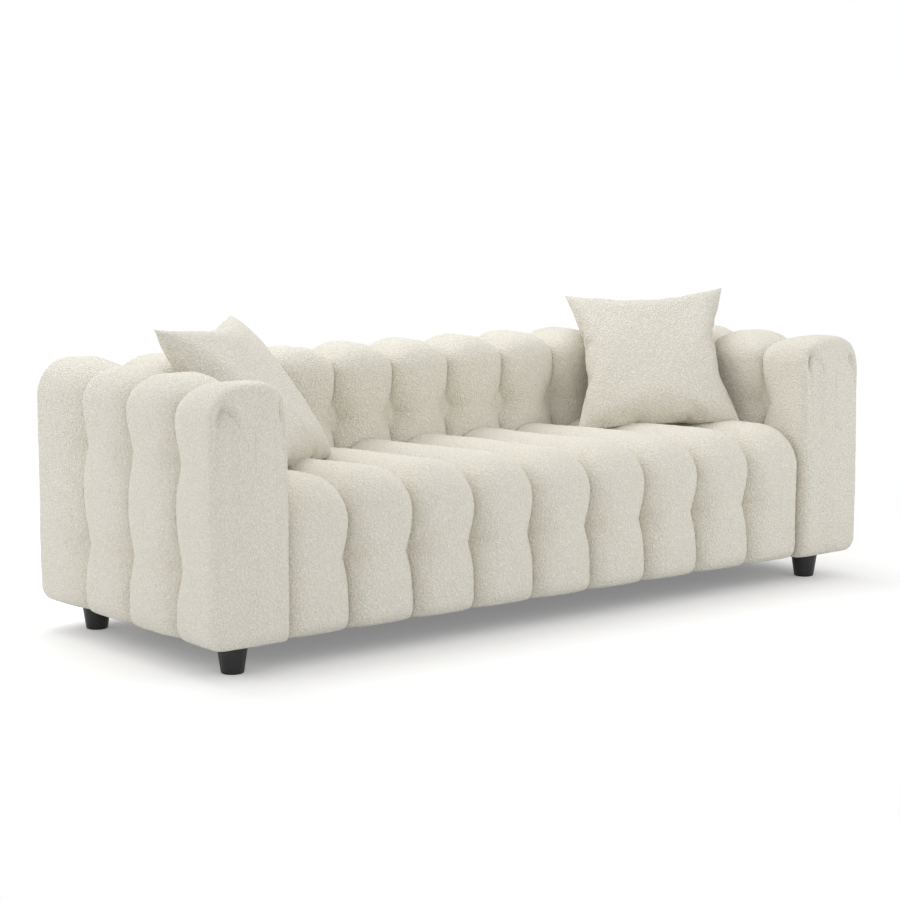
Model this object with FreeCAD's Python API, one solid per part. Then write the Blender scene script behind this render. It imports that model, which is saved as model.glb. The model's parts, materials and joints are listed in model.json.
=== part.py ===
import FreeCAD, Part
import math
import os

from FreeCAD import Vector

# A three-seat tuxedo sofa: arms as high as the back, all upholstered in stuffed channels.
# Millimetres. X runs along the sofa, the front faces -Y, Z is up, and the origin lies on
# the floor under the middle.

# Overall size
LENGTH = 2170.0
DEPTH = 850.0
HEIGHT = 690.0
FOOT_HEIGHT = 74.0

# Upholstered blocks
ARM_WIDTH = 212.0
BACK_THICKNESS = 230.0
SEAT_HEIGHT = 450.0
SEAT_SETBACK = 20.0
SEAT_FALL = 20.0
DECK_HEIGHT = 330.0

# Stuffed channels
SEAT_CHANNELS = 9
ARM_CHANNELS = 4
WALL_PAD = 45.0
SEAT_PAD = 60.0
SEAM_SINK = 26.0
TUFT_PULL = 11.0
TUFT_DIMPLE = 5.0
TUFT_REACH = 62.0
TUCK_LENGTH = 34.0
TUCK_START = 0.38
HIGH_TUFT = 500.0
LOW_TUFT = 250.0
OUTER_ROLL = 90.0
INNER_ROLL = 70.0
SEAT_ROLL = 112.0
ROLL_STEP = 23.0
PANEL_CROWN = 4.0
PANEL_SHOULDER = 20.0
DART_WIDTH = 9.0
DART_DEPTH = 7.0
DART_LENGTH = 170.0
CROWN_CHORDS = 6
SOFT_GAP = 0.3

# Timber, board, foam and cloth
BOARD = 25.0
PLY = 3.0
WRAP_FOAM = 12.0
TOP_FOAM = 18.0
BACK_FOAM = 30.0
RAIL_HEIGHT = 150.0
FRAME_LIFT = 4.0
CROSS_RAILS = 3
CROSS_RAIL_DROP = 30.0
MID_POSTS = 2
BACK_POSTS = 4
STRAP_RAIL = 70.0
STRAP_RAIL_FOOT = 300.0
BLOCK_WIDTH = 80.0
BLOCK_HEIGHT = 100.0
CORNER_LEG = 90.0
CORNER_HEIGHT = 60.0
DUST_CLOTH = 1.0
STRAP_WIDTH = 50.0
STRAP_THICKNESS = 2.0

# Springs under the seat foam
SPRING_WIRE = 4.0
SPRING_WAVES = 8
SPRING_SWING = 24.0
CLIP_WIDTH = 30.0
CLIP_PLATE = 1.5

# Feet and fasteners
FOOT_BOTTOM = 56.0
FOOT_TOP = 78.0
FOOT_EDGE = 3.0
FOOT_INSET = 107.0
FOOT_SIDES = 36
FASTENER_SIDES = 12
BOLT = 8.0
FOOT_BOLT_DEPTH = 30.0
NUT_FLANGE = 24.0
NUT_PLATE = 2.0
NUT_BARREL = 11.0
NUT_BARREL_LENGTH = 14.0
FRAME_BOLT_BITE = 40.0
BOLT_HEAD = 18.0
BOLT_HEAD_HEIGHT = 5.0
REAR_BOLT_SPREAD = 436.0
HOLE_CLEARANCE = 0.3

# Throw pillows
PILLOW_SIZE = 445.0
PILLOW_THICKNESS = 150.0
PILLOW_DRAW = 16.0
PILLOW_EDGE = 3.0
PILLOW_FULLNESS = 0.6
PILLOW_CELLS = 8
PILLOW_CLOTH = 1.5
LEFT_PILLOW_FROM_ARM = 170.2
LEFT_PILLOW_FROM_BACK = 140.2
LEFT_PILLOW_RISE = 174.7
LEFT_PILLOW_TURN = 32.6
LEFT_PILLOW_LEAN = 35.9
LEFT_PILLOW_TIP = 0.5
RIGHT_PILLOW_FROM_ARM = 169.6
RIGHT_PILLOW_FROM_BACK = 162.4
RIGHT_PILLOW_RISE = 164.8
RIGHT_PILLOW_TURN = -39.0
RIGHT_PILLOW_LEAN = 38.5
RIGHT_PILLOW_TIP = 3.5

# Places that follow from the sizes
HALF_LENGTH = LENGTH / 2
HALF_DEPTH = DEPTH / 2
SEAT_HALF = HALF_LENGTH - ARM_WIDTH
FRAME_BOTTOM = FOOT_HEIGHT + FRAME_LIFT
ARM_CORE = ARM_WIDTH - 2 * (WALL_PAD + WRAP_FOAM + PLY)
CORE_IN = WALL_PAD + WRAP_FOAM + PLY
CORE_TOP = HEIGHT - WALL_PAD - TOP_FOAM
LINING_TOP = CORE_TOP - BOARD / 2
SEAT_FRONT = -HALF_DEPTH + SEAT_SETBACK
SEAT_REAR = HALF_DEPTH - BACK_THICKNESS - SOFT_GAP
SEAT_SLOPE = math.degrees(math.atan(SEAT_FALL / (SEAT_REAR - SEAT_FRONT)))
BACK_FRAME_FRONT = BACK_THICKNESS - WALL_PAD - BACK_FOAM - STRAP_THICKNESS
BASE_FRONT = SEAT_FRONT + SEAT_PAD
BASE_REAR = HALF_DEPTH - BACK_FRAME_FRONT
RAIL_TOP = FRAME_BOTTOM + RAIL_HEIGHT
SPRING_TOP = RAIL_TOP + CLIP_PLATE + SPRING_WIRE
FOOT_TOP_LEVEL = FRAME_BOTTOM - DUST_CLOTH
ARM_PITCH = DEPTH / ARM_CHANNELS
SEAT_PITCH = 2 * SEAT_HALF / SEAT_CHANNELS

built = {}


def keep(name, *solids):
    """Store a node's solids, each turned right side out."""
    for solid in solids:
        if solid.Volume < 0:
            solid.reverse()
    built[name] = built.get(name, []) + list(solids)


class Block:
    """An upholstered block: u runs inwards from its outer face, v along it, w up."""

    def __init__(self, origin, inward, along):
        self.origin = origin
        self.inward = inward
        self.along = along

    def point(self, u, v, w):
        return self.origin + self.inward * u + self.along * v + Vector(0, 0, w)

    def box(self, u, v, w):
        """A box between two values of each coordinate."""
        corners = [(u[0], v[0]), (u[1], v[0]), (u[1], v[1]), (u[0], v[1])]
        ring = [self.point(a, b, w[0]) for a, b in corners]
        return prism(ring, Vector(0, 0, w[1] - w[0]))


ARMS = {
    "left": Block(Vector(-HALF_LENGTH, 0, 0), Vector(1, 0, 0), Vector(0, 1, 0)),
    "right": Block(Vector(HALF_LENGTH, 0, 0), Vector(-1, 0, 0), Vector(0, 1, 0)),
}
BACK = Block(Vector(0, HALF_DEPTH, 0), Vector(0, -1, 0), Vector(1, 0, 0))
SEAT = Block(Vector(0, SEAT_FRONT, 0), Vector(0, 1, 0), Vector(1, 0, 0))


def prism(ring, push):
    """A straight-sided solid from a closed ring of points."""
    face = Part.Face(Part.makePolygon(ring + ring[:1]))
    return face.extrude(push)


def box(x, y, z):
    """A box between two values of X, Y and Z."""
    return Part.makeBox(x[1] - x[0], y[1] - y[0], z[1] - z[0], Vector(x[0], y[0], z[0]))


def circle(centre, radius, axis, sides):
    """Points round a circle, the first straight above its centre or along Y."""
    up = Vector(0, 1, 0) if abs(axis.z) > 0.5 else Vector(0, 0, 1)
    side = axis.cross(up)
    points = []
    for step in range(sides):
        angle = 2 * math.pi * step / sides
        points.append(centre + (up * math.cos(angle) + side * math.sin(angle)) * radius)
    return points


def pole(centre, radius, height, axis=Vector(0, 0, 1)):
    """A bolt, a hole or another small round piece, with a few flats round it."""
    return prism(circle(centre, radius, axis, FASTENER_SIDES), axis * height)


def turned(floor, profile, sides):
    """A round piece about an upright axis from (radius, height) pairs, foot first."""
    up = Vector(0, 0, 1)
    rings = [circle(floor + up * height, radius, up, sides) for radius, height in profile]
    faces = patch([ring + ring[:1] for ring in rings])
    faces += [Part.Face(Part.makePolygon(ring + ring[:1])) for ring in (rings[0], rings[-1])]
    return closed(faces)


class Station:
    """One cross-section's place on the pad's inner face: where, which way is out, how far along."""

    def __init__(self, u, w, heading, travelled):
        self.u = u
        self.w = w
        self.heading = heading
        self.travelled = travelled

    def out(self, height):
        """The u and w of a point this high above the pad's inner face."""
        angle = math.radians(self.heading)
        return self.u - height * math.cos(angle), self.w + height * math.sin(angle)


def trace(u, w, legs):
    """Stations along straight legs and turns. The path sets off upwards and turns inwards.

    A leg is ("run", length, distances to its tufts) or ("turn", degrees, radius).
    Also gives the distances of all tufts along the path.
    """
    heading = 0.0
    travelled = 0.0
    stations = [Station(u, w, heading, travelled)]
    tufts = []
    for leg in legs:
        if leg[0] == "run":
            length, own = leg[1], leg[2]
            stops = {length}
            for tuft in own:
                tufts.append(travelled + tuft)
                stops |= {tuft - TUFT_REACH, tuft, tuft + TUFT_REACH}
            if not stations[-1].travelled:
                stops |= {TUCK_LENGTH * 0.3, TUCK_LENGTH}
            angle = math.radians(heading)
            for stop in sorted(s for s in stops if 0 < s <= length):
                place = (u + stop * math.sin(angle), w + stop * math.cos(angle))
                stations.append(Station(*place, heading, travelled + stop))
            u += length * math.sin(angle)
            w += length * math.cos(angle)
            travelled += length
        else:
            degrees, radius = leg[1], leg[2]
            steps = math.ceil(degrees / ROLL_STEP)
            centre_u = u + radius * math.cos(math.radians(heading))
            centre_w = w - radius * math.sin(math.radians(heading))
            for step in range(1, steps + 1):
                angle = math.radians(heading + degrees * step / steps)
                u = centre_u - radius * math.cos(angle)
                w = centre_w + radius * math.sin(angle)
                gone = travelled + math.radians(degrees) * radius * step / steps
                stations.append(Station(u, w, math.degrees(angle), gone))
            heading += degrees
            travelled += math.radians(degrees) * radius
    return stations, tufts


def corners(stations):
    """The stations where the path turns, with its two ends."""
    inner = zip(stations, stations[1:], stations[2:])
    turning = [here for last, here, after in inner if not last.heading == here.heading == after.heading]
    return [stations[0]] + turning + [stations[-1]]


def heights(station, tufts, pad):
    """The crown's and the seam's height over the pad's inner face at a station.

    The seam lies lower than the crown, a tuft draws both in within its reach, and the
    start of the path is tucked under in a quarter round.
    """
    near = max([0.0] + [1 - abs(station.travelled - t) / TUFT_REACH for t in tufts])
    crown = pad - TUFT_DIMPLE * near
    seam = pad - SEAM_SINK - TUFT_PULL * near
    share = min(1.0, station.travelled / TUCK_LENGTH)
    tuck = TUCK_START + (1 - TUCK_START) * math.sqrt(1 - (1 - share) ** 2)
    return crown * tuck, seam * tuck


def patch(rows):
    """Faces over a grid of points: one where four points lie flat, else two triangles."""
    faces = []
    for low, high in zip(rows, rows[1:]):
        middle = (len(low) - 1) / 2
        for j in range(len(low) - 1):
            a, b, c, d = low[j], low[j + 1], high[j + 1], high[j]
            corners = [p for p, q in zip((a, b, c, d), (b, c, d, a)) if (q - p).Length > 1e-6]
            if len(corners) < 3:
                continue
            flat = len(corners) == 3 or abs((b - a).cross(d - a).dot(c - a)) < 1e-5
            if flat:
                rings = [corners]
            elif j < middle:
                rings = [[a, b, c], [a, c, d]]
            else:
                rings = [[a, b, d], [b, c, d]]
            faces += [Part.Face(Part.makePolygon(ring + ring[:1])) for ring in rings]
    return faces


def closed(faces):
    """The solid inside a closed set of faces."""
    shell = Part.Shell(faces)
    shell.sewShape()
    return Part.Solid(shell)


def crown_line(v_from, v_to, seam, crown):
    """Points (v, height) on an arc from seam to crown to seam."""
    half = (v_to - v_from) / 2
    radius = (half * half + (crown - seam) ** 2) / (2 * (crown - seam))
    points = []
    for step in range(CROWN_CHORDS + 1):
        across = half * (2 * step / CROWN_CHORDS - 1)
        drop = radius - math.sqrt(radius * radius - across * across)
        points.append((v_from + half + across, crown - drop))
    return points


def shoulder_line(seam_v, end_v, seam, crown):
    """Points (v, height) from a seam up an arc to the crown, then a quarter round to the end."""
    way = math.copysign(1.0, end_v - seam_v)
    turn = end_v - way * crown
    reach = abs(turn - seam_v)
    radius = (reach * reach + (crown - seam) ** 2) / (2 * (crown - seam))
    half = CROWN_CHORDS // 2
    points = []
    for step in range(half):
        left = reach * (1 - step / half)
        points.append((turn - way * left, crown - radius + math.sqrt(radius**2 - left**2)))
    for step in range(half + 1):
        angle = math.radians(90 * step / half)
        points.append((turn + way * crown * math.sin(angle), crown * math.cos(angle)))
    return points


def channel(block, stations, tufts, pad, v_from, v_to, rounded=0):
    """One stuffed channel between the seams at v_from and v_to, carried along its path.

    Every section is an arc from seam to crown to seam over a flat inner face. Where
    rounded is -1 or 1 the channel ends the block on that side, and instead of falling
    to a seam it turns a quarter round down to the end panel.
    """
    rows = []
    feet = [[block.point(s.u, v, s.w) for v in (v_from, v_to)] for s in corners(stations)]
    for station in stations:
        crown, seam = heights(station, tufts, pad)
        if rounded < 0:
            line = shoulder_line(v_to, v_from, seam, crown)[::-1]
        elif rounded > 0:
            line = shoulder_line(v_from, v_to, seam, crown)
        else:
            line = crown_line(v_from, v_to, seam, crown)
        row = []
        for v, height in line:
            u, w = station.out(height)
            row.append(block.point(u, v, w))
        rows.append(row)
    faces = patch(rows) + patch(feet)
    for side, column in ((-1, 0), (1, -1)):
        if rounded != side:
            wall = [row[column] for row in rows] + [foot[column] for foot in feet][::-1]
            faces.append(Part.Face(Part.makePolygon(wall + wall[:1])))
    for row, foot in ((rows[0], feet[0]), (rows[-1], feet[-1])):
        ring = row + [p for p in foot[::-1] if min((p - q).Length for q in row) > 1e-6]
        faces.append(Part.Face(Part.makePolygon(ring + ring[:1])))
    return closed(faces)


def wall_legs(thickness, inner_foot, outer_foot=FOOT_HEIGHT):
    """The pad's path over a wall: up its outer side, over its top and down its inner side."""
    outer = OUTER_ROLL - WALL_PAD
    inner = INNER_ROLL - WALL_PAD
    rise = HEIGHT - OUTER_ROLL - outer_foot
    drop_from = HEIGHT - INNER_ROLL
    inner_tufts = [drop_from - HIGH_TUFT]
    if inner_foot < LOW_TUFT:
        inner_tufts.append(drop_from - LOW_TUFT)
    return [
        ("run", rise, [LOW_TUFT - outer_foot, HIGH_TUFT - outer_foot]),
        ("turn", 90.0, outer),
        ("run", thickness - OUTER_ROLL - INNER_ROLL, []),
        ("turn", 90.0, inner),
        ("run", drop_from - inner_foot, inner_tufts),
    ]


def pad_ring(block, stations, v, inset=0.0):
    """The closed ring of points under a pad's path, at one v and this far further in."""
    ring = []
    for station in corners(stations):
        u, w = station.out(-inset)
        lift = inset if station in (stations[0], stations[-1]) else 0.0
        ring.append(block.point(u, v, w + lift))
    return ring


def end_panel(block, side):
    """The padded panel that closes an arm's front or rear, slightly crowned."""
    stations, _ = trace(WALL_PAD, FOOT_HEIGHT, wall_legs(ARM_WIDTH, FOOT_HEIGHT))
    depths = [
        (side * (HALF_DEPTH - WALL_PAD), 0.0),
        (side * (HALF_DEPTH - PANEL_CROWN), 0.0),
        (side * HALF_DEPTH, PANEL_SHOULDER),
    ]
    rings = [pad_ring(block, stations, v, inset) for v, inset in depths]
    faces = patch([ring + ring[:1] for ring in rings])
    faces += [Part.Face(Part.makePolygon(ring + ring[:1])) for ring in (rings[0], rings[-1])]
    return closed(faces)


def dart(block, u):
    """The wedge of a pleat that starts at a panel's upper corner and fades downwards."""
    top = HEIGHT - OUTER_ROLL + WALL_PAD / 2
    face = -HALF_DEPTH - 1.0
    deep = -HALF_DEPTH + PANEL_CROWN + DART_DEPTH
    mouth = [
        block.point(u - DART_WIDTH / 2, face, top),
        block.point(u, deep, top),
        block.point(u + DART_WIDTH / 2, face, top),
    ]
    tip = [
        block.point(u - 0.5, face, top - DART_LENGTH),
        block.point(u, face + 1.0, top - DART_LENGTH),
        block.point(u + 0.5, face, top - DART_LENGTH),
    ]
    wires = [Part.makePolygon(ring + ring[:1]) for ring in (mouth, tip)]
    return Part.makeLoft(wires, True, True)


def seat_path():
    """Stations and tufts of the seat pad: up its front, over the roll and back along its top."""
    base_roll = SEAT_ROLL - SEAT_PAD
    slope = math.radians(SEAT_SLOPE)
    reach = SEAT_REAR - SEAT_FRONT - SEAT_ROLL
    legs = [
        ("run", SEAT_HEIGHT - SEAT_ROLL - FOOT_HEIGHT, [LOW_TUFT - FOOT_HEIGHT]),
        ("turn", 90.0 + SEAT_SLOPE, base_roll),
        ("run", (reach - SEAT_ROLL * math.sin(slope)) / math.cos(slope), []),
    ]
    return trace(SEAT_PAD, FOOT_HEIGHT, legs)


def make_seat_channels():
    stations, tufts = seat_path()
    for number in range(SEAT_CHANNELS):
        v_from = -SEAT_HALF + number * SEAT_PITCH
        solid = channel(SEAT, stations, tufts, SEAT_PAD, v_from, v_from + SEAT_PITCH)
        keep(f"seat_channel_{number + 1}", solid)


def make_back_channels():
    pitch = 2 * (SEAT_HALF - SOFT_GAP) / SEAT_CHANNELS
    stations, tufts = trace(WALL_PAD, FOOT_HEIGHT, wall_legs(BACK_THICKNESS, DECK_HEIGHT))
    for number in range(SEAT_CHANNELS):
        v_from = -(SEAT_HALF - SOFT_GAP) + number * pitch
        solid = channel(BACK, stations, tufts, WALL_PAD, v_from, v_from + pitch)
        keep(f"back_channel_{number + 1}", solid)


def make_arm_channels():
    face = HALF_DEPTH - PANEL_CROWN
    for side, block in ARMS.items():
        for number in range(ARM_CHANNELS):
            v_from = max(-face, -HALF_DEPTH + number * ARM_PITCH)
            v_to = min(face, -HALF_DEPTH + (number + 1) * ARM_PITCH)
            front = number == 0
            rear = number == ARM_CHANNELS - 1
            foot = FOOT_HEIGHT if front or rear else DECK_HEIGHT
            stations, tufts = trace(WALL_PAD, FOOT_HEIGHT, wall_legs(ARM_WIDTH, foot))
            rounded = int(rear) - int(front)
            solid = channel(block, stations, tufts, WALL_PAD, v_from, v_to, rounded)
            keep(f"{side}_arm_channel_{number + 1}", solid)
        front_panel = end_panel(block, -1)
        for u in (WALL_PAD + DART_WIDTH, ARM_WIDTH - WALL_PAD - DART_WIDTH):
            front_panel = front_panel.cut(dart(block, u))
        keep(f"{side}_arm_front_panel", *front_panel.Solids)
        keep(f"{side}_arm_rear_panel", *end_panel(block, 1).Solids)


def make_arm_frames():
    """Each arm's timber box, its two lining boards and the foam wrapped over it."""
    inside = HALF_DEPTH - WALL_PAD
    deep = (CORE_IN, CORE_IN + ARM_CORE)
    lining_out = (CORE_IN - PLY, CORE_IN)
    lining_in = (CORE_IN + ARM_CORE, CORE_IN + ARM_CORE + PLY)
    foam_in = (lining_in[1], ARM_WIDTH - WALL_PAD)
    for side, block in ARMS.items():
        bottom = block.box(deep, (-inside, inside), (FRAME_BOTTOM, FRAME_BOTTOM + BOARD))
        for v in foot_places():
            hole = block.point(FOOT_INSET, v, FRAME_BOTTOM)
            bottom = bottom.cut(pole(hole, NUT_BARREL / 2 + HOLE_CLEARANCE, BOARD))
        top = block.box(deep, (-inside, inside), (CORE_TOP - BOARD, CORE_TOP))
        keep(f"{side}_arm_frame", bottom, top)
        posts = [-inside + BOARD / 2] + mid_posts() + [inside - BOARD / 2]
        for v in posts:
            span = (v - BOARD / 2, v + BOARD / 2)
            post = block.box(deep, span, (FRAME_BOTTOM + BOARD, CORE_TOP - BOARD))
            if v in mid_posts():
                post = post.cut(arm_bolt_hole(block, v))
            keep(f"{side}_arm_frame", post)
        for lining in (lining_out, lining_in):
            board = block.box(lining, (-inside, inside), (FRAME_BOTTOM, LINING_TOP))
            if lining is lining_in:
                for v in mid_posts():
                    board = board.cut(arm_bolt_hole(block, v))
            keep("arm_lining_boards", board)
        stations, _ = trace(WALL_PAD, FRAME_BOTTOM, wall_legs(ARM_WIDTH, FRAME_BOTTOM, FRAME_BOTTOM))
        wrap = prism(pad_ring(block, stations, -inside), block.along * (2 * inside))
        core = block.box((lining_out[0], lining_in[1]), (-inside, inside), (0, LINING_TOP))
        core = core.fuse(block.box(deep, (-inside, inside), (0, CORE_TOP)))
        gap = block.box((foam_in[0], ARM_WIDTH), (-ARM_PITCH, ARM_PITCH), (0, DECK_HEIGHT))
        keep(f"{side}_arm_foam", *wrap.cut(core).cut(gap).Solids)


def foot_places():
    return [-(HALF_DEPTH - FOOT_INSET), HALF_DEPTH - FOOT_INSET]


def mid_posts():
    """Where an arm's posts between its end posts stand along it."""
    inside = HALF_DEPTH - WALL_PAD
    return [inside * (2 * (n + 1) / (MID_POSTS + 1) - 1) for n in range(MID_POSTS)]


def arm_bolt_hole(block, v):
    """The clear hole along a bolt that joins the seat frame to an arm."""
    level = FRAME_BOTTOM + BLOCK_HEIGHT / 2
    start = block.point(ARM_WIDTH + 2 * BOARD, v, level)
    length = 2 * BOARD + ARM_WIDTH - CORE_IN
    return pole(start, BOLT / 2 + HOLE_CLEARANCE, length, block.inward * -1)


def make_back_frame():
    """The back's timber frame, its webbing straps, rear board and foam."""
    half = SEAT_HALF - SOFT_GAP
    frame = (CORE_IN, BACK_FRAME_FRONT)
    rail = (BACK_FRAME_FRONT - BOARD, BACK_FRAME_FRONT)
    bottom = BACK.box(frame, (-half, half), (FRAME_BOTTOM, FRAME_BOTTOM + BOARD))
    for v in rear_bolts():
        bottom = bottom.cut(rear_bolt_hole(v))
    top = BACK.box(frame, (-half, half), (CORE_TOP - BOARD, CORE_TOP))
    low = BACK.box(rail, (-half, half), (STRAP_RAIL_FOOT, STRAP_RAIL_FOOT + STRAP_RAIL))
    high = BACK.box(rail, (-half, half), (CORE_TOP - BOARD - STRAP_RAIL, CORE_TOP - BOARD))
    keep("back_frame", bottom, top, low, high)
    for number in range(BACK_POSTS):
        v = (half - BOARD / 2) * (2 * number / (BACK_POSTS - 1) - 1)
        span = (v - BOARD / 2, v + BOARD / 2)
        levels = (FRAME_BOTTOM + BOARD, CORE_TOP - BOARD)
        keep("back_frame", BACK.box((CORE_IN, rail[0]), span, levels))
    strap = (BACK_FRAME_FRONT, BACK_FRAME_FRONT + STRAP_THICKNESS)
    for number in range(SEAT_CHANNELS):
        v = -SEAT_HALF + (number + 0.5) * SEAT_PITCH
        span = (v - STRAP_WIDTH / 2, v + STRAP_WIDTH / 2)
        keep("back_straps", BACK.box(strap, span, (STRAP_RAIL_FOOT, CORE_TOP)))
    board = BACK.box((CORE_IN - PLY, CORE_IN), (-half, half), (FRAME_BOTTOM, LINING_TOP))
    keep("back_rear_board", board)
    legs = wall_legs(BACK_THICKNESS, DECK_HEIGHT, FRAME_BOTTOM)
    stations, _ = trace(WALL_PAD, FRAME_BOTTOM, legs)
    wrap = prism(pad_ring(BACK, stations, -half), BACK.along * (2 * half))
    core = BACK.box((CORE_IN - PLY, CORE_IN), (-half, half), (0, LINING_TOP))
    core = core.fuse(BACK.box((CORE_IN, strap[1]), (-half, half), (0, CORE_TOP)))
    below = BACK.box((strap[0], BACK_THICKNESS), (-half, half), (0, DECK_HEIGHT))
    keep("back_foam", *wrap.cut(core).cut(below).Solids)


def rear_bolts():
    return [-REAR_BOLT_SPREAD / 2, REAR_BOLT_SPREAD / 2]


def rear_bolt_hole(v):
    """The clear hole along a bolt that joins the seat frame to the back."""
    start = Vector(v, BASE_REAR - 2 * BOARD, FRAME_BOTTOM + BOARD / 2)
    reach = 2 * BOARD + FRAME_BOLT_BITE + 2 * HOLE_CLEARANCE
    return pole(start, BOLT / 2 + HOLE_CLEARANCE, reach, Vector(0, 1, 0))


def make_seat_frame():
    """The seat's rails, blocks, springs and foam."""
    levels = (FRAME_BOTTOM, RAIL_TOP)
    inner_front = BASE_FRONT + BOARD
    inner_rear = BASE_REAR - BOARD
    rear = box((-SEAT_HALF, SEAT_HALF), (inner_rear, BASE_REAR), levels)
    for v in rear_bolts():
        rear = rear.cut(rear_bolt_hole(v))
    keep("seat_front_rail", box((-SEAT_HALF, SEAT_HALF), (BASE_FRONT, inner_front), levels))
    keep("seat_rear_rail", rear)
    for side, block in ARMS.items():
        span = (ARM_WIDTH, ARM_WIDTH + BOARD)
        rail = block.box(span, (inner_front, inner_rear), levels)
        joint = (CORE_IN + ARM_CORE + PLY, ARM_WIDTH)
        for v in mid_posts():
            rail = rail.cut(arm_bolt_hole(block, v))
            width = (v - BLOCK_WIDTH / 2, v + BLOCK_WIDTH / 2)
            spacer = block.box(joint, width, (FRAME_BOTTOM, FRAME_BOTTOM + BLOCK_HEIGHT))
            keep("joining_blocks", spacer.cut(arm_bolt_hole(block, v)))
        keep("seat_side_rails", rail)
        u = ARM_WIDTH + BOARD
        for v, way in ((inner_front, 1), (inner_rear, -1)):
            ring = [
                block.point(u, v, FRAME_BOTTOM),
                block.point(u + CORNER_LEG, v, FRAME_BOTTOM),
                block.point(u, v + way * CORNER_LEG, FRAME_BOTTOM),
            ]
            keep("seat_corner_blocks", prism(ring, Vector(0, 0, CORNER_HEIGHT)))
    for number in range(CROSS_RAILS):
        x = SEAT_HALF * (2 * (number + 1) / (CROSS_RAILS + 1) - 1)
        span = (x - BOARD / 2, x + BOARD / 2)
        under = (FRAME_BOTTOM, RAIL_TOP - CROSS_RAIL_DROP)
        keep("seat_cross_rails", box(span, (inner_front, inner_rear), under))
    stations, _ = seat_path()
    roll = [s for s in stations if s.w > SPRING_TOP and s.travelled > LOW_TUFT - FOOT_HEIGHT]
    ring = [SEAT.point(s.u, -SEAT_HALF, s.w) for s in roll]
    ring.insert(0, SEAT.point(SEAT_PAD, -SEAT_HALF, SPRING_TOP))
    ring.append(SEAT.point(roll[-1].u, -SEAT_HALF, SPRING_TOP))
    keep("seat_foam", prism(ring, Vector(2 * SEAT_HALF, 0, 0)))


def spring_line():
    """Points (x, y) down the middle of a sinuous spring's wire, from rail to rail."""
    start = BASE_FRONT + BOARD / 2
    length = BASE_REAR - BOARD / 2 - start
    step = length / (2 * SPRING_WAVES)
    points = [(0.0, start)]
    for half_wave in range(2 * SPRING_WAVES):
        side = SPRING_SWING * (1 if half_wave % 2 else -1)
        points.append((side, start + step * (half_wave + 0.28)))
        points.append((side, start + step * (half_wave + 0.72)))
    points.append((0.0, start + length))
    return points


def wire_ring(points, thickness):
    """The outline of a flat wire that follows the points, mitred at every bend."""
    left, right = [], []
    for before, here, after in zip(points[:1] + points, points, points[1:] + points[-1:]):
        first = Vector(here[0] - before[0], here[1] - before[1], 0)
        second = Vector(after[0] - here[0], after[1] - here[1], 0)
        first = first.normalize() if first.Length else second.normalize()
        second = second.normalize() if second.Length else first
        bisector = (first + second).normalize()
        reach = thickness / 2 / bisector.dot(first)
        sideways = Vector(-bisector.y, bisector.x, 0) * reach
        left.append(Vector(here[0], here[1], 0) + sideways)
        right.append(Vector(here[0], here[1], 0) - sideways)
    return left + right[::-1]


def make_springs():
    """Sinuous springs from the front rail to the rear rail, one under each channel."""
    ring = wire_ring(spring_line(), SPRING_WIRE)
    for number in range(SEAT_CHANNELS):
        place = Vector(-SEAT_HALF + (number + 0.5) * SEAT_PITCH, 0, SPRING_TOP - SPRING_WIRE)
        spring = prism([p + place for p in ring], Vector(0, 0, SPRING_WIRE))
        keep("seat_springs", spring)
        span = (place.x - CLIP_WIDTH / 2, place.x + CLIP_WIDTH / 2)
        for y in (BASE_FRONT, BASE_REAR - BOARD):
            keep("spring_clips", box(span, (y, y + BOARD), (RAIL_TOP, RAIL_TOP + CLIP_PLATE)))


def make_dust_covers():
    """The cloth stapled under the seat and under each arm."""
    inner = CORE_IN + ARM_CORE + PLY
    wide = HALF_LENGTH - inner
    rear = HALF_DEPTH - CORE_IN + PLY
    inside = HALF_DEPTH - WALL_PAD
    right = [
        (SEAT_HALF, BASE_FRONT),
        (SEAT_HALF, -ARM_PITCH),
        (wide, -ARM_PITCH),
        (wide, ARM_PITCH),
        (SEAT_HALF, ARM_PITCH),
        (SEAT_HALF, rear),
    ]
    outline = right + [(-x, y) for x, y in right[::-1]]
    ring = [Vector(x, y, FOOT_TOP_LEVEL) for x, y in outline]
    keep("dust_covers", prism(ring, Vector(0, 0, DUST_CLOTH)))
    for block in ARMS.values():
        span = (CORE_IN - PLY, inner)
        cloth = block.box(span, (-inside, inside), (FOOT_TOP_LEVEL, FRAME_BOTTOM))
        for v in foot_places():
            hole = block.point(FOOT_INSET, v, FOOT_TOP_LEVEL)
            cloth = cloth.cut(pole(hole, BOLT / 2 + HOLE_CLEARANCE, DUST_CLOTH))
        keep("dust_covers", cloth)


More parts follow.
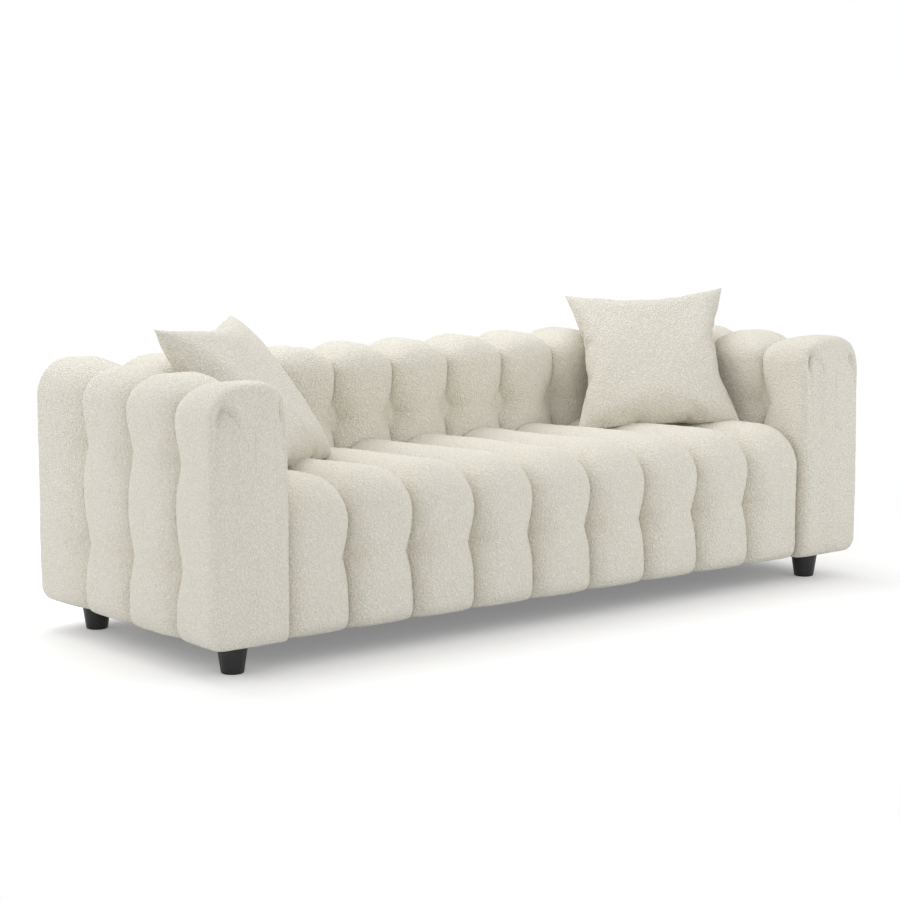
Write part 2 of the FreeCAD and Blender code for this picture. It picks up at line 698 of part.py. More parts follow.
def make_feet():
    """Tapered round feet on bolts that screw into tee nuts over the arms' bottom boards."""
    bolt_low = FOOT_TOP_LEVEL - FOOT_BOLT_DEPTH
    nut_top = FRAME_BOTTOM + BOARD + NUT_PLATE
    for side, block in ARMS.items():
        for end, v in zip(("front", "rear"), foot_places()):
            floor = block.point(FOOT_INSET, v, 0)
            profile = [
                (FOOT_BOTTOM / 2 - FOOT_EDGE, 0.0),
                (FOOT_BOTTOM / 2, FOOT_EDGE),
                (FOOT_TOP / 2, FOOT_TOP_LEVEL),
            ]
            bolt_foot = floor + Vector(0, 0, bolt_low)
            socket = pole(bolt_foot, BOLT / 2 + HOLE_CLEARANCE, FOOT_BOLT_DEPTH)
            foot = turned(floor, profile, FOOT_SIDES).cut(socket)
            keep(f"{side}_{end}_foot", *foot.Solids)
            keep("foot_bolts", pole(bolt_foot, BOLT / 2, nut_top - bolt_low))
            flange = pole(floor + Vector(0, 0, nut_top - NUT_PLATE), NUT_FLANGE / 2, NUT_PLATE)
            barrel_foot = floor + Vector(0, 0, nut_top - NUT_PLATE - NUT_BARREL_LENGTH)
            barrel = pole(barrel_foot, NUT_BARREL / 2, NUT_BARREL_LENGTH)
            bore = pole(barrel_foot, BOLT / 2 + HOLE_CLEARANCE, NUT_BARREL_LENGTH + NUT_PLATE)
            keep("foot_tee_nuts", flange.fuse(barrel).cut(bore))


def make_frame_bolts():
    """Bolts from inside the seat frame into the arms' posts and the back's bottom board."""
    level = FRAME_BOTTOM + BLOCK_HEIGHT / 2
    reach = BOARD + (ARM_WIDTH - CORE_IN - ARM_CORE) + FRAME_BOLT_BITE
    for block in ARMS.values():
        for v in mid_posts():
            head = block.point(ARM_WIDTH + BOARD + BOLT_HEAD_HEIGHT, v, level)
            cap = pole(head, BOLT_HEAD / 2, BOLT_HEAD_HEIGHT, block.inward * -1)
            shank = pole(head, BOLT / 2, reach + BOLT_HEAD_HEIGHT, block.inward * -1)
            keep("frame_bolts", cap.fuse(shank))
    for v in rear_bolts():
        head = Vector(v, BASE_REAR - BOARD - BOLT_HEAD_HEIGHT, FRAME_BOTTOM + BOARD / 2)
        cap = pole(head, BOLT_HEAD / 2, BOLT_HEAD_HEIGHT, Vector(0, 1, 0))
        length = BOLT_HEAD_HEIGHT + BOARD + FRAME_BOLT_BITE
        keep("frame_bolts", cap.fuse(pole(head, BOLT / 2, length, Vector(0, 1, 0))))


def cushion(inset):
    """A filled square cushion lying flat round the origin, this far inside its cover's face.

    Its edges are drawn in between pointed corners, and its two faces swell from a thin
    edge to the full thickness in the middle.
    """
    half = PILLOW_SIZE / 2 - inset
    swell = PILLOW_THICKNESS / 2 - inset - (PILLOW_EDGE / 2 - inset * 0.5)
    lip = PILLOW_EDGE / 2 - inset * 0.5
    ticks = [math.sin(math.pi / 2 * (2 * n / PILLOW_CELLS - 1)) for n in range(PILLOW_CELLS + 1)]

    def point(s, t, side):
        x = s * (half - PILLOW_DRAW * (1 - t * t) * s * s)
        y = t * (half - PILLOW_DRAW * (1 - s * s) * t * t)
        full = max(0.0, (1 - s * s) * (1 - t * t)) ** PILLOW_FULLNESS
        return Vector(x, y, side * (lip + swell * full))

    upper = [[point(s, t, 1) for s in ticks] for t in ticks]
    lower = [[point(s, t, -1) for s in ticks] for t in ticks]
    faces = patch(upper) + patch(lower)
    for pick in (
        lambda rows: rows[0],
        lambda rows: rows[-1],
        lambda rows: [row[0] for row in rows],
        lambda rows: [row[-1] for row in rows],
    ):
        faces += patch([pick(upper), pick(lower)])
    return closed(faces)


def pillow_place(way, from_arm, from_back, rise, turn, lean, tip):
    """A pillow's middle beside an arm, turned about the upright, laid back and tipped."""
    middle = Vector(
        way * (SEAT_HALF - from_arm),
        HALF_DEPTH - BACK_THICKNESS - from_back,
        SEAT_HEIGHT + rise,
    )
    spin = FreeCAD.Rotation(Vector(0, 0, 1), turn)
    laid_back = FreeCAD.Rotation(Vector(1, 0, 0), 90 - lean)
    tipped = FreeCAD.Rotation(Vector(0, 0, 1), tip)
    return FreeCAD.Placement(middle, spin * laid_back * tipped)


def make_pillows():
    places = {
        "left": pillow_place(
            -1,
            LEFT_PILLOW_FROM_ARM,
            LEFT_PILLOW_FROM_BACK,
            LEFT_PILLOW_RISE,
            LEFT_PILLOW_TURN,
            LEFT_PILLOW_LEAN,
            LEFT_PILLOW_TIP,
        ),
        "right": pillow_place(
            1,
            RIGHT_PILLOW_FROM_ARM,
            RIGHT_PILLOW_FROM_BACK,
            RIGHT_PILLOW_RISE,
            RIGHT_PILLOW_TURN,
            RIGHT_PILLOW_LEAN,
            RIGHT_PILLOW_TIP,
        ),
    }
    for side, place in places.items():
        cover = cushion(0.0).cut(cushion(PILLOW_CLOTH))
        insert = cushion(PILLOW_CLOTH)
        for solid in (cover, insert):
            solid.Placement = place.multiply(solid.Placement)
        keep(f"{side}_pillow_cover", *cover.Solids)
        keep(f"{side}_pillow_insert", insert)


make_seat_channels()
make_back_channels()
make_arm_channels()
make_arm_frames()
make_back_frame()
make_seat_frame()
make_springs()
make_dust_covers()
make_feet()
make_frame_bolts()
make_pillows()

os.makedirs("parts", exist_ok=True)
for name, solids in built.items():
    Part.makeCompound(solids).exportStep(f"parts/{name}.step")
print(len(built), "nodes,", sum(len(solids) for solids in built.values()), "solids")
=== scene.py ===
# %% [markdown]
# A tuxedo sofa covered in cream boucle, with stuffed channels and two throw pillows.
# The rigid inside of the sofa (timber, springs, bolts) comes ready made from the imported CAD
# model, which also fixes every size. What Blender adds is what the hand and the eye meet: the
# stuffed cloth, its tufts and pleats, the pillows, the feet and all the finishes.

import json
import math

import bmesh
import bpy
import numpy as np
from mathutils import Matrix, Vector


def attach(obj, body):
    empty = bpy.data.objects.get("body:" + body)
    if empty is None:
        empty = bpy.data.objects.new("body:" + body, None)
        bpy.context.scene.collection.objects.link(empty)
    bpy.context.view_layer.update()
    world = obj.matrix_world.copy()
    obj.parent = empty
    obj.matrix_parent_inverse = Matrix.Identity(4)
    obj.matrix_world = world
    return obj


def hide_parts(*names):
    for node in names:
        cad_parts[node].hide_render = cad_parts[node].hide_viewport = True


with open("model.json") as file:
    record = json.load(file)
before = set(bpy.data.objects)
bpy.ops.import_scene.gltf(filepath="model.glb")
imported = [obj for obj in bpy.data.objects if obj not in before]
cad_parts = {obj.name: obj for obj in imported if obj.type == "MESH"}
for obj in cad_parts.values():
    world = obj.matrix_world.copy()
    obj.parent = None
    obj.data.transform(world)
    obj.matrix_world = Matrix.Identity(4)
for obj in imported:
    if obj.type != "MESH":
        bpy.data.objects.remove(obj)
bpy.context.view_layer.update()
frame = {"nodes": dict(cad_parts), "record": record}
MM = 0.001

# %% [markdown]
# The sizes are those of the CAD model, in millimetres. A wall of the sofa (an arm or the back)
# is a pad of even thickness wrapped over a box, so one path over the box, up the outside, over
# the top and down the inside, describes the whole wall. The seat's pad has a path of its own: up
# the front, over a big roll and back, falling slightly to the rear. STEP is the distance between
# the points of every surface that is worked out here.

# %% Sizes
LENGTH, DEPTH, HEIGHT = 2170.0, 850.0, 690.0
FOOT_HEIGHT = 74.0
ARM_WIDTH, BACK_THICKNESS = 212.0, 230.0
SEAT_HEIGHT, SEAT_SETBACK, SEAT_FALL, DECK_HEIGHT = 450.0, 20.0, 20.0, 330.0
SEAT_CHANNELS, ARM_CHANNELS = 9, 4
WALL_PAD, SEAT_PAD = 45.0, 60.0
OUTER_ROLL, INNER_ROLL, SEAT_ROLL = 90.0, 70.0, 112.0
HIGH_TUFT, LOW_TUFT = 500.0, 250.0
CLEARANCE = 0.3
HALF_LENGTH, HALF_DEPTH = LENGTH / 2, DEPTH / 2
SEAT_HALF = HALF_LENGTH - ARM_WIDTH
BACK_HALF = SEAT_HALF - CLEARANCE
SEAT_FRONT = -HALF_DEPTH + SEAT_SETBACK
SEAT_REAR = HALF_DEPTH - BACK_THICKNESS - CLEARANCE
SEAT_SLOPE = math.atan(SEAT_FALL / (SEAT_REAR - SEAT_FRONT))
SEAT_PITCH, BACK_PITCH = 2 * SEAT_HALF / SEAT_CHANNELS, 2 * BACK_HALF / SEAT_CHANNELS
ARM_PITCH = DEPTH / ARM_CHANNELS
STEP = 3.6


def block(origin, inward, along):
    """An upholstered block's own directions: u inwards from its face, v along it, w up."""
    return tuple(np.array(d, float) for d in (origin, inward, along))


BLOCKS = {
    "left_arm": block((-HALF_LENGTH, 0, 0), (1, 0, 0), (0, 1, 0)),
    "right_arm": block((HALF_LENGTH, 0, 0), (-1, 0, 0), (0, 1, 0)),
    "back": block((0, HALF_DEPTH, 0), (0, -1, 0), (1, 0, 0)),
    "seat": block((0, SEAT_FRONT, 0), (0, 1, 0), (1, 0, 0)),
}


def placed(name, u, v, w):
    """Points of a block, from u, v and w to x, y and z: origin plus u inwards plus v along."""
    origin, inward, along = BLOCKS[name]
    u, v, w = np.broadcast_arrays(u, v, w)
    up = np.array([0.0, 0.0, 1.0])
    return origin + u[..., None] * inward + v[..., None] * along + w[..., None] * up


print("channels", round(SEAT_PITCH), "mm wide on the seat,", ARM_PITCH, "mm on the arms")

# %% [markdown]
# Boucle is woven from looped yarn, so its surface is never smooth. Two sorts of noise stand for
# that. A slow one shifts the stuffing by a millimetre or two, so that no two channels are alike.
# A fast one raises small clumps of loops. Both are functions of the place in space, worked out
# for all points at once, so they give the same result on every run. The multipliers that mix
# the bits are large odd numbers without a meaning of their own.

# %% Noise
PLACE_MIXERS = (73856093, 19349663, 83492791, 1640531513)
FIRST_MIXER, SECOND_MIXER = 1274126177, 2246822519
BITS_32, BITS_16 = 0xFFFFFFFF, 0xFFFF


def scatter(i, j, k, seed):
    """A number from 0 to 1 for each place, by mixing the bits of whole i, j and k with a seed."""
    mixed = 0
    for number, mixer in zip((i, j, k, seed), PLACE_MIXERS):
        mixed = mixed ^ (number * mixer)
    mixed = ((mixed & BITS_32) * FIRST_MIXER) & BITS_32
    mixed = ((mixed ^ (mixed >> 15)) * SECOND_MIXER) & BITS_32
    return ((mixed ^ (mixed >> 13)) & BITS_16) / BITS_16


def slow_noise(points, size, seed):
    """Random numbers from -1 to 1 on a lattice of this size, blended between its eight corners.

    The share of a corner is the product over the axes of 3p^2 - 2p^3, p being the way across.
    """
    place = points / size
    low = np.floor(place).astype(np.int64)
    part = place - low
    part = part * part * (3 - 2 * part)
    total = np.zeros(points.shape[:-1])
    for corner in np.ndindex(2, 2, 2):
        weight = np.ones(points.shape[:-1])
        for axis, up in enumerate(corner):
            weight = weight * (part[..., axis] if up else 1 - part[..., axis])
        total += weight * scatter(*(low[..., axis] + corner[axis] for axis in range(3)), seed)
    return 2 * total - 1


def clumps(points, size, seed):
    """Round bumps from 0 to 1: one minus the squared distance to the nearest scattered point."""
    place = points / size
    low = np.floor(place).astype(np.int64)
    nearest = np.full(points.shape[:-1], np.inf)
    for step in np.ndindex(3, 3, 3):
        cell = [low[..., axis] + step[axis] - 1 for axis in range(3)]
        gap = [cell[axis] + scatter(*cell, seed + axis) - place[..., axis] for axis in range(3)]
        nearest = np.minimum(nearest, gap[0] ** 2 + gap[1] ** 2 + gap[2] ** 2)
    return np.clip(1 - nearest, 0, 1)


print("noise from -1 to 1, such as", slow_noise(np.array([[12.0, 3.0, 7.0]]), 5.0, 1).round(3))

# %% [markdown]
# A pad's path is made of straight runs and turns. Walking along it gives, for any distance
# travelled, the place on the pad's inner face and the direction that the path heads in, from
# which the outward direction follows. The cover is then that place plus a height outwards.

# %% Paths
def walk(start, legs, travelled):
    """Place u, w and heading at distances along a path that sets off upwards and turns inwards.

    On a run the place moves along the heading. On a turn it swings round a centre that lies one
    radius to the inside, and the heading grows by distance over radius.
    """
    (u, w), heading, gone = start, 0.0, 0.0
    found = [np.full_like(travelled, float(x)) for x in (u, w, heading)]
    for kind, size, radius in legs:
        length = size if kind == "run" else size * radius
        here = np.clip(travelled - gone, 0, length)
        if kind == "run":
            spot = (u + here * math.sin(heading), w + here * math.cos(heading), heading + 0 * here)
        else:
            angle = heading + here / radius
            centre = (u + radius * math.cos(heading), w - radius * math.sin(heading))
            spot = (centre[0] - radius * np.cos(angle), centre[1] + radius * np.sin(angle), angle)
        found = [np.where(travelled >= gone, new, old) for new, old in zip(spot, found)]
        if kind == "run":
            u, w = u + length * math.sin(heading), w + length * math.cos(heading)
        else:
            u = centre[0] - radius * math.cos(heading + size)
            w = centre[1] + radius * math.sin(heading + size)
            heading += size
        gone += length
    return found


QUARTER = math.pi / 2
WALL_START, SEAT_START = (WALL_PAD, FOOT_HEIGHT), (SEAT_PAD, FOOT_HEIGHT)


def wall_path(thickness, inner_foot):
    """Legs of the path over a wall, with the distances to its tufts."""
    outer, inner = OUTER_ROLL - WALL_PAD, INNER_ROLL - WALL_PAD
    rise, fall = HEIGHT - OUTER_ROLL - FOOT_HEIGHT, HEIGHT - INNER_ROLL
    top = thickness - OUTER_ROLL - INNER_ROLL
    legs = [
        ("run", rise, 0),
        ("turn", QUARTER, outer),
        ("run", top, 0),
        ("turn", QUARTER, inner),
        ("run", fall - inner_foot, 0),
    ]
    down = rise + QUARTER * outer + top + QUARTER * inner
    tufts = [LOW_TUFT - FOOT_HEIGHT, HIGH_TUFT - FOOT_HEIGHT, down + fall - HIGH_TUFT]
    if inner_foot < LOW_TUFT:
        tufts.append(down + fall - LOW_TUFT)
    return legs, tufts


def seat_path():
    """Legs of the seat pad's path: up the front, over the roll and back along the sloping top."""
    reach = SEAT_REAR - SEAT_FRONT - SEAT_ROLL
    back = (reach - SEAT_ROLL * math.sin(SEAT_SLOPE)) / math.cos(SEAT_SLOPE)
    legs = [
        ("run", SEAT_HEIGHT - SEAT_ROLL - FOOT_HEIGHT, 0),
        ("turn", QUARTER + SEAT_SLOPE, SEAT_ROLL - SEAT_PAD),
        ("run", back, 0),
    ]
    return legs, [LOW_TUFT - FOOT_HEIGHT]


def path_length(legs):
    """The sum of the legs: a run's own length, and angle times radius for a turn."""
    return sum(size if kind == "run" else size * radius for kind, size, radius in legs)


print("path over an arm", round(path_length(wall_path(ARM_WIDTH, FOOT_HEIGHT)[0])), "mm")

# %% [markdown]
# A stuffed channel is a tube of cloth sewn down along both seams and filled with fibre. Cloth
# under pressure takes an arc between its seams. At a tuft, a twine pulls the seam further in:
# the cover falls away towards that point from all sides, and because the cloth is longer than
# the straight way, a short crease runs from the tuft into each channel. A cloth simulation could
# find all this, but a height worked out from the distances to seam and tuft puts the tufts
# exactly where the photograph shows them.

# %% Stuffed height
TOP_POWER, UPRIGHT_POWER = 2.2, 3.6
TOP_ROOT, UPRIGHT_ROOT = 0.75, 0.55
SINK_SHARE, TOP_SINK_SHARE = 0.8, 0.12
SWELL, SWELL_SHIFT, INSIDE_SWELL_SHARE = 7.0, 0.7, 0.4
TUFT_PULL, INSIDE_PULL_SHARE, TUFT_REACH, TUFT_POWER = 31.0, 0.35, 42.0, 1.3
CREASE_DEPTH, CREASE_WIDTH, CREASE_LENGTH = 7.0, 6.0, 32.0
TUCK_LENGTH, TUCK_START = 40.0, 0.4
LEAST_HEIGHT = 2.0


def tuck(travelled):
    """The share of its height that the cover has near its lower edge, where it turns under.

    It grows as a quarter of a circle from TUCK_START at the edge to 1 at TUCK_LENGTH.
    """
    share = np.clip(travelled / TUCK_LENGTH, 0, 1)
    return TUCK_START + (1 - TUCK_START) * np.sqrt(1 - (1 - share) ** 2)


def stuffed(travelled, heading, across, distances, tuft_rows, pad):
    """Height of the cover over the pad's inner face.

    across runs from -1 at one seam to 1 at the other, distances are the millimetres to the two
    seams, and tuft_rows are each seam's tufts. The section is (1 - |across|^power)^root: full
    where the cover stands upright, and rounder over the top. It swells a little past the pad,
    most on the outside. A tuft takes away a depth that falls off with the distance to it, and a
    crease runs out from it.
    """
    upright = np.cos(heading) ** 2
    power = TOP_POWER + (UPRIGHT_POWER - TOP_POWER) * upright
    root = TOP_ROOT + (UPRIGHT_ROOT - TOP_ROOT) * upright
    arc = np.clip(1 - np.abs(across) ** power, 0, 1) ** root
    swell = SWELL * np.clip(np.cos(heading) + SWELL_SHIFT, INSIDE_SWELL_SHARE, 1)
    sink = (SINK_SHARE + TOP_SINK_SHARE * (1 - upright)) * pad
    height = pad - sink * (1 - arc) + swell * arc
    pull = TUFT_PULL * (1 + INSIDE_PULL_SHARE * np.clip(-np.cos(heading), 0, 1))
    for distance, tufts in zip(distances, tuft_rows):
        for tuft in tufts:
            off = np.abs(travelled - tuft)
            away = np.hypot(off, distance)
            height = height - pull * np.exp(-((away / TUFT_REACH) ** TUFT_POWER))
            crease = np.exp(-((off / CREASE_WIDTH) ** 2)) * np.exp(-distance / CREASE_LENGTH)
            height = height - CREASE_DEPTH * crease
    return np.maximum(height, LEAST_HEIGHT) * tuck(travelled)


# %% [markdown]
# Upholstery is hand work: a seam wanders by a millimetre or two on its way, and a tuft sits a few
# millimetres off its row. Both come from the same noise, worked out from the seam's own place, so
# the two channels that share a seam agree on it and close up without a gap.

# %% Hand work
SEAM_WANDER, WANDER_LENGTH, WANDER_SEED = 2.2, 170.0, 11
TUFT_SCATTER, TUFT_SEED, SEAM_SHIFT = 6.0, 3, 4000


def between_channels(seam, reach):
    """Whether a seam has a channel on both sides, and isn't the block's own end."""
    return abs(seam) < reach - 1


def seam_wander(name, seam, travelled, reach):
    """Sideways wander of a seam in millimetres, the same for the two channels that share it."""
    if not between_channels(seam, reach):
        return 0 * travelled
    places = np.stack([travelled, 0 * travelled + seam, 0 * travelled], -1)
    return SEAM_WANDER * slow_noise(places, WANDER_LENGTH, WANDER_SEED + len(name))


def tuft_row(name, seam, tufts):
    """One seam's tufts, each moved along the seam by up to half of TUFT_SCATTER either way."""
    shares = [scatter(int(seam) + SEAM_SHIFT, n, len(name), TUFT_SEED) for n in range(len(tufts))]
    return [tuft + TUFT_SCATTER * (share - 0.5) for tuft, share in zip(tufts, shares)]


print("tufts of the middle seat seam", [round(t) for t in tuft_row("seat", 97, seat_path()[1])])

# %% [markdown]
# A grid of points becomes a mesh by joining each point to its neighbours. Writing the whole
# arrays with foreach_set is many times faster than adding faces one by one. The relief is laid
# on before that: every grid point moves along its own normal, which is the cross product of the
# grid's two directions.

# %% Meshes from grids
def normals_of(points):
    """Unit normals of a grid of points: the cross product of its column and row directions."""
    across, along = np.gradient(points, axis=1), np.gradient(points, axis=0)
    normal = np.cross(across, along)
    return normal / np.maximum(np.linalg.norm(normal, axis=-1, keepdims=True), 1e-9)


def grid_faces(index):
    """Quads between neighbouring rows and columns of an array of point numbers."""
    a, b, c, d = index[:-1, :-1], index[:-1, 1:], index[1:, 1:], index[1:, :-1]
    return np.stack([a, b, c, d], -1).reshape(-1, 4)


def make_mesh(name, points, quads, caps=()):
    """An object from points in millimetres, an array of quads and a few many-sided caps.

    A quad that names a point twice, as where two sides of a surface meet, is left out.
    """
    quads = np.asarray(quads)
    folded = (np.diff(np.sort(quads, axis=1), axis=1) == 0).any(axis=1)
    quads = quads[~folded]
    loops = np.concatenate([quads.ravel(), *[np.asarray(c) for c in caps]]).astype(np.int32)
    sizes = np.concatenate([np.full(len(quads), 4), [len(c) for c in caps]]).astype(np.int32)
    starts = np.concatenate([[0], np.cumsum(sizes)[:-1]]).astype(np.int32)
    mesh = bpy.data.meshes.new(name)
    mesh.vertices.add(len(points))
    mesh.vertices.foreach_set("co", (np.asarray(points) * MM).astype(np.float32).ravel())
    mesh.loops.add(len(loops))
    mesh.loops.foreach_set("vertex_index", loops)
    mesh.polygons.add(len(sizes))
    mesh.polygons.foreach_set("loop_start", starts)
    mesh.polygons.foreach_set("use_smooth", np.ones(len(sizes), bool))
    mesh.update(calc_edges=True)
    mesh.validate()
    piece = bpy.data.objects.new(name, mesh)
    bpy.context.scene.collection.objects.link(piece)
    return piece


# %% [markdown]
# The relief has two parts: the stuffing's own lumps, two layers of slow noise, and the yarn, small
# clumps of loops with grit between them. Each is a height and a size in millimetres. The clumps
# are drawn about twice as coarse as real ones, because finer ones would need too fine a mesh.

# %% Relief
STUFFING_LUMPS = ((2.0, 110.0), (0.8, 42.0))
YARN_CLUMPS, YARN_GRIT = (0.55, 9.5), (0.35, 7.5)
COVER_SEED = 20
SEAM_FADE, FOOT_FADE = 12.0, 20.0


def relief(points, normals, fade, seed):
    """Moves points along their normals by the stuffing's and the yarn's heights, times fade."""
    (deep, wide), (shallow, narrow) = STUFFING_LUMPS
    stuffing = deep * slow_noise(points, wide, seed)
    stuffing = stuffing + shallow * slow_noise(points, narrow, seed + 1)
    yarn = YARN_CLUMPS[0] * clumps(points, YARN_CLUMPS[1], seed + 2)
    yarn = yarn + YARN_GRIT[0] * slow_noise(points, YARN_GRIT[1], seed + 3)
    return points + normals * ((stuffing + yarn) * fade)[..., None]


# %% [markdown]
# Colours are written as sRGB hex values, as a paint chart or a browser shows them. Blender
# computes in linear light, so one function turns them over. Another adds a node, sets it and
# links it, so that a material reads like a list.

# %% Material helpers
def tint(hex_value):
    """Linear RGBA from an sRGB hex value: c/12.92 below 0.04045, else ((c+0.055)/1.055)^2.4."""
    parts = [int(hex_value[i : i + 2], 16) / 255 for i in (1, 3, 5)]
    linear = [c / 12.92 if c <= 0.04045 else ((c + 0.055) / 1.055) ** 2.4 for c in parts]
    return (*linear, 1.0)


def add(tree, kind, sockets=None, stops=(), **settings):
    """Adds a node, sets its settings, and fills each named socket with a value or a link.

    The stops are a colour ramp's two ends, each a position and a hex value.
    """
    made = tree.nodes.new(kind)
    for key, value in settings.items():
        setattr(made, key, value)
    for number, (position, hex_value) in enumerate(stops):
        end = made.color_ramp.elements[number]
        end.position, end.color = position, tint(hex_value)
    for key, value in (sockets or {}).items():
        if isinstance(value, bpy.types.NodeSocket):
            tree.links.new(value, made.inputs[key])
        else:
            made.inputs[key].default_value = value
    return made


def bare_tree(owner):
    """The emptied node tree of a new material or world."""
    owner.use_nodes = True
    owner.node_tree.nodes.clear()
    return owner.node_tree


def dress(piece, material, body, slot, *nodes):
    """Gives a piece its material and its body, and hides the CAD nodes it stands for; slot is not
    used.
    """
    piece.data.materials.append(material)
    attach(piece, body)
    if nodes:
        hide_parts(*nodes)
    return piece


print("a mid grey #808080 is", round(tint("#808080")[0], 3), "in linear light")

# %% [markdown]
# Boucle is polyester or wool yarn with loops 5 to 8 mm across, crowded together like a fleece.
# The eye sees small round lumps with soft dark between them, a matt surface, and a faint bright
# fuzz where it turns away. Lumps come from a Voronoi pattern whose coordinates are stirred by
# noise, so the loops look curled and not like pebbles. The soft dark is partly the bump's own
# shading and partly painted shade: the colour is darker in the hollows, where shade falls, than at
# the crests. The fuzz is the shader's sheen. The three sizes are in millimetres: a loop, the curl
# that stirs it, and a fibre of the yarn.

# %% Boucle
LOOP, CURL, FIBRE = 5.5, 20 / 3, 5 / 3
STIR, LOOP_DEPTH = 3.0, 2.4


def boucle(name, painted_shade_hollow, crest):
    """Looped yarn, with shade painted darker in the hollows between loops than at the crests."""
    material = bpy.data.materials.new(name)
    tree = bare_tree(material)
    place = add(tree, "ShaderNodeTexCoord").outputs["Object"]
    swirl = add(tree, "ShaderNodeTexNoise", {"Vector": place, "Scale": 1000 / CURL, "Detail": 1.0})
    shift = add(
        tree,
        "ShaderNodeVectorMath",
        {0: swirl.outputs["Color"], 1: (0.5, 0.5, 0.5)},
        operation="SUBTRACT",
    )
    shift = add(
        tree, "ShaderNodeVectorMath", {0: shift.outputs[0], "Scale": STIR * MM}, operation="SCALE"
    )
    stirred = add(tree, "ShaderNodeVectorMath", {0: place, 1: shift.outputs[0]}, operation="ADD")
    loops = add(
        tree,
        "ShaderNodeTexVoronoi",
        {"Vector": stirred.outputs[0], "Scale": 1000 / LOOP, "Smoothness": 0.35},
        feature="SMOOTH_F1",
    )
    distance = {"Value": loops.outputs["Distance"], "From Min": 0.0, "From Max": 0.75}
    lumps = add(
        tree,
        "ShaderNodeMapRange",
        distance | {"To Min": 1.0, "To Max": 0.0},
        interpolation_type="SMOOTHSTEP",
    )
    fibre = add(tree, "ShaderNodeTexNoise", {"Vector": place, "Scale": 1000 / FIBRE, "Detail": 2.0})
    height = add(
        tree,
        "ShaderNodeMath",
        {0: fibre.outputs["Fac"], 1: 0.6, 2: lumps.outputs[0]},
        operation="MULTIPLY_ADD",
    ).outputs[0]
    # Painted shade: the ramp darkens the hollows between loops; the fibre noise adds random tone.
    colour = add(tree, "ShaderNodeValToRGB", {"Fac": height}, [(0.3, painted_shade_hollow), (0.95, crest)])
    bump = add(
        tree, "ShaderNodeBump", {"Height": height, "Strength": 1.0, "Distance": LOOP_DEPTH * MM}
    )
    shader = add(
        tree,
        "ShaderNodeBsdfPrincipled",
        {
            "Base Color": colour.outputs["Color"],
            "Normal": bump.outputs[0],
            "Roughness": 0.95,
            "Specular IOR Level": 0.2,
            "Sheen Weight": 0.25,
            "Sheen Roughness": 0.5,
        },
    )
    add(tree, "ShaderNodeOutputMaterial", {"Surface": shader.outputs[0]})
    return material


# The darker colour of each pair is painted shade for the hollows between the loops.
COVER = boucle("cream_boucle", "#E8E3D5", "#F6F3E8")
PILLOW_COVER = boucle("cream_boucle_pillow", "#E2DDD0", "#F2EFE4")
print("boucle with", round(1000 / LOOP), "loops in a metre")

# %% [markdown]
# Each plain channel is one closed tube: for every place along the path, a section from the pad's
# inner face up one seam wall, over the arc and down the other wall. The two ends are flat caps.
# Every channel is its own cushion, sewn to its neighbours along the seams they share. The cover
# is longer than the way straight across, so it gets more columns than the pitch alone asks for.

# %% Plain channels
EVEN_SHARE = 0.45
CHANNEL_EXCESS = 1.12


def spaced(count):
    """Numbers from -1 to 1, closer together towards the seams: part even, the rest a sine."""
    even = np.linspace(-1, 1, count)
    return EVEN_SHARE * even + (1 - EVEN_SHARE) * np.sin(even * QUARTER)


def plain_channel(name, number, path, start, pad, reach, pitch, block_name):
    """A channel between two seams; reach is the block's half width along v."""
    legs, tufts = path
    length = path_length(legs)
    travelled = np.linspace(0, length, int(length / STEP) + 1)[:, None]
    across = spaced(int(pitch * CHANNEL_EXCESS / STEP) + 1)[None, :]
    seams = [-reach + number * pitch, -reach + (number + 1) * pitch]
    edges = [s + seam_wander(block_name, s, travelled, reach) for s in seams]
    v = edges[0] + (edges[1] - edges[0]) * (across + 1) / 2
    distances = (v - edges[0], edges[1] - v)
    rows = [tuft_row(block_name, s, tufts) if between_channels(s, reach) else [] for s in seams]
    u, w, heading = walk(start, legs, travelled)
    height = stuffed(travelled, heading, across, distances, rows, pad)
    skin = placed(block_name, u - height * np.cos(heading), v, w + height * np.sin(heading))
    fade = np.clip(np.minimum(*distances) / SEAM_FADE, 0, 1) * np.clip(travelled / FOOT_FADE, 0, 1)
    skin = relief(skin, normals_of(skin), fade, COVER_SEED)
    floor = placed(block_name, u, v[:, [0, -1]], w)
    tube = np.concatenate([floor[:, :1], skin, floor[:, 1:]], axis=1)
    index = np.arange(tube.shape[0] * tube.shape[1]).reshape(tube.shape[:2])
    around = np.concatenate([index, index[:, :1]], axis=1)
    caps = [index[0][::-1], index[-1]]
    return make_mesh(name, tube.reshape(-1, 3), grid_faces(around), caps)


for number in range(SEAT_CHANNELS):
    seat = plain_channel(
        f"seat_channel_cover_{number + 1}", number, seat_path(),
        SEAT_START, SEAT_PAD, SEAT_HALF, SEAT_PITCH, "seat",
    )
    dress(seat, COVER, "sofa", "boucle", f"seat_channel_{number + 1}")
    back = plain_channel(
        f"back_channel_cover_{number + 1}", number, wall_path(BACK_THICKNESS, DECK_HEIGHT),
        WALL_START, WALL_PAD, BACK_HALF, BACK_PITCH, "back",
    )
    dress(back, COVER, "sofa", "boucle", f"back_channel_{number + 1}")
for side in ("left", "right"):
    for number in (1, 2):
        arm = plain_channel(
            f"{side}_arm_channel_cover_{number + 1}", number, wall_path(ARM_WIDTH, DECK_HEIGHT),
            WALL_START, WALL_PAD, HALF_DEPTH, ARM_PITCH, f"{side}_arm",
        )
        dress(arm, COVER, "sofa", "boucle", f"{side}_arm_channel_{number + 1}")

# %% [markdown]
# Where an arm's side, top and front meet there is too much cloth, so the upholsterer folds it
# into a pleat at each upper corner of the front. A pleat is a step: the cloth on one side lies
# over the cloth on the other, which is sunk beside it. It could be left to a cloth simulation,
# but a depth worked out from two distances, down the edge and across it, is steady and quick.

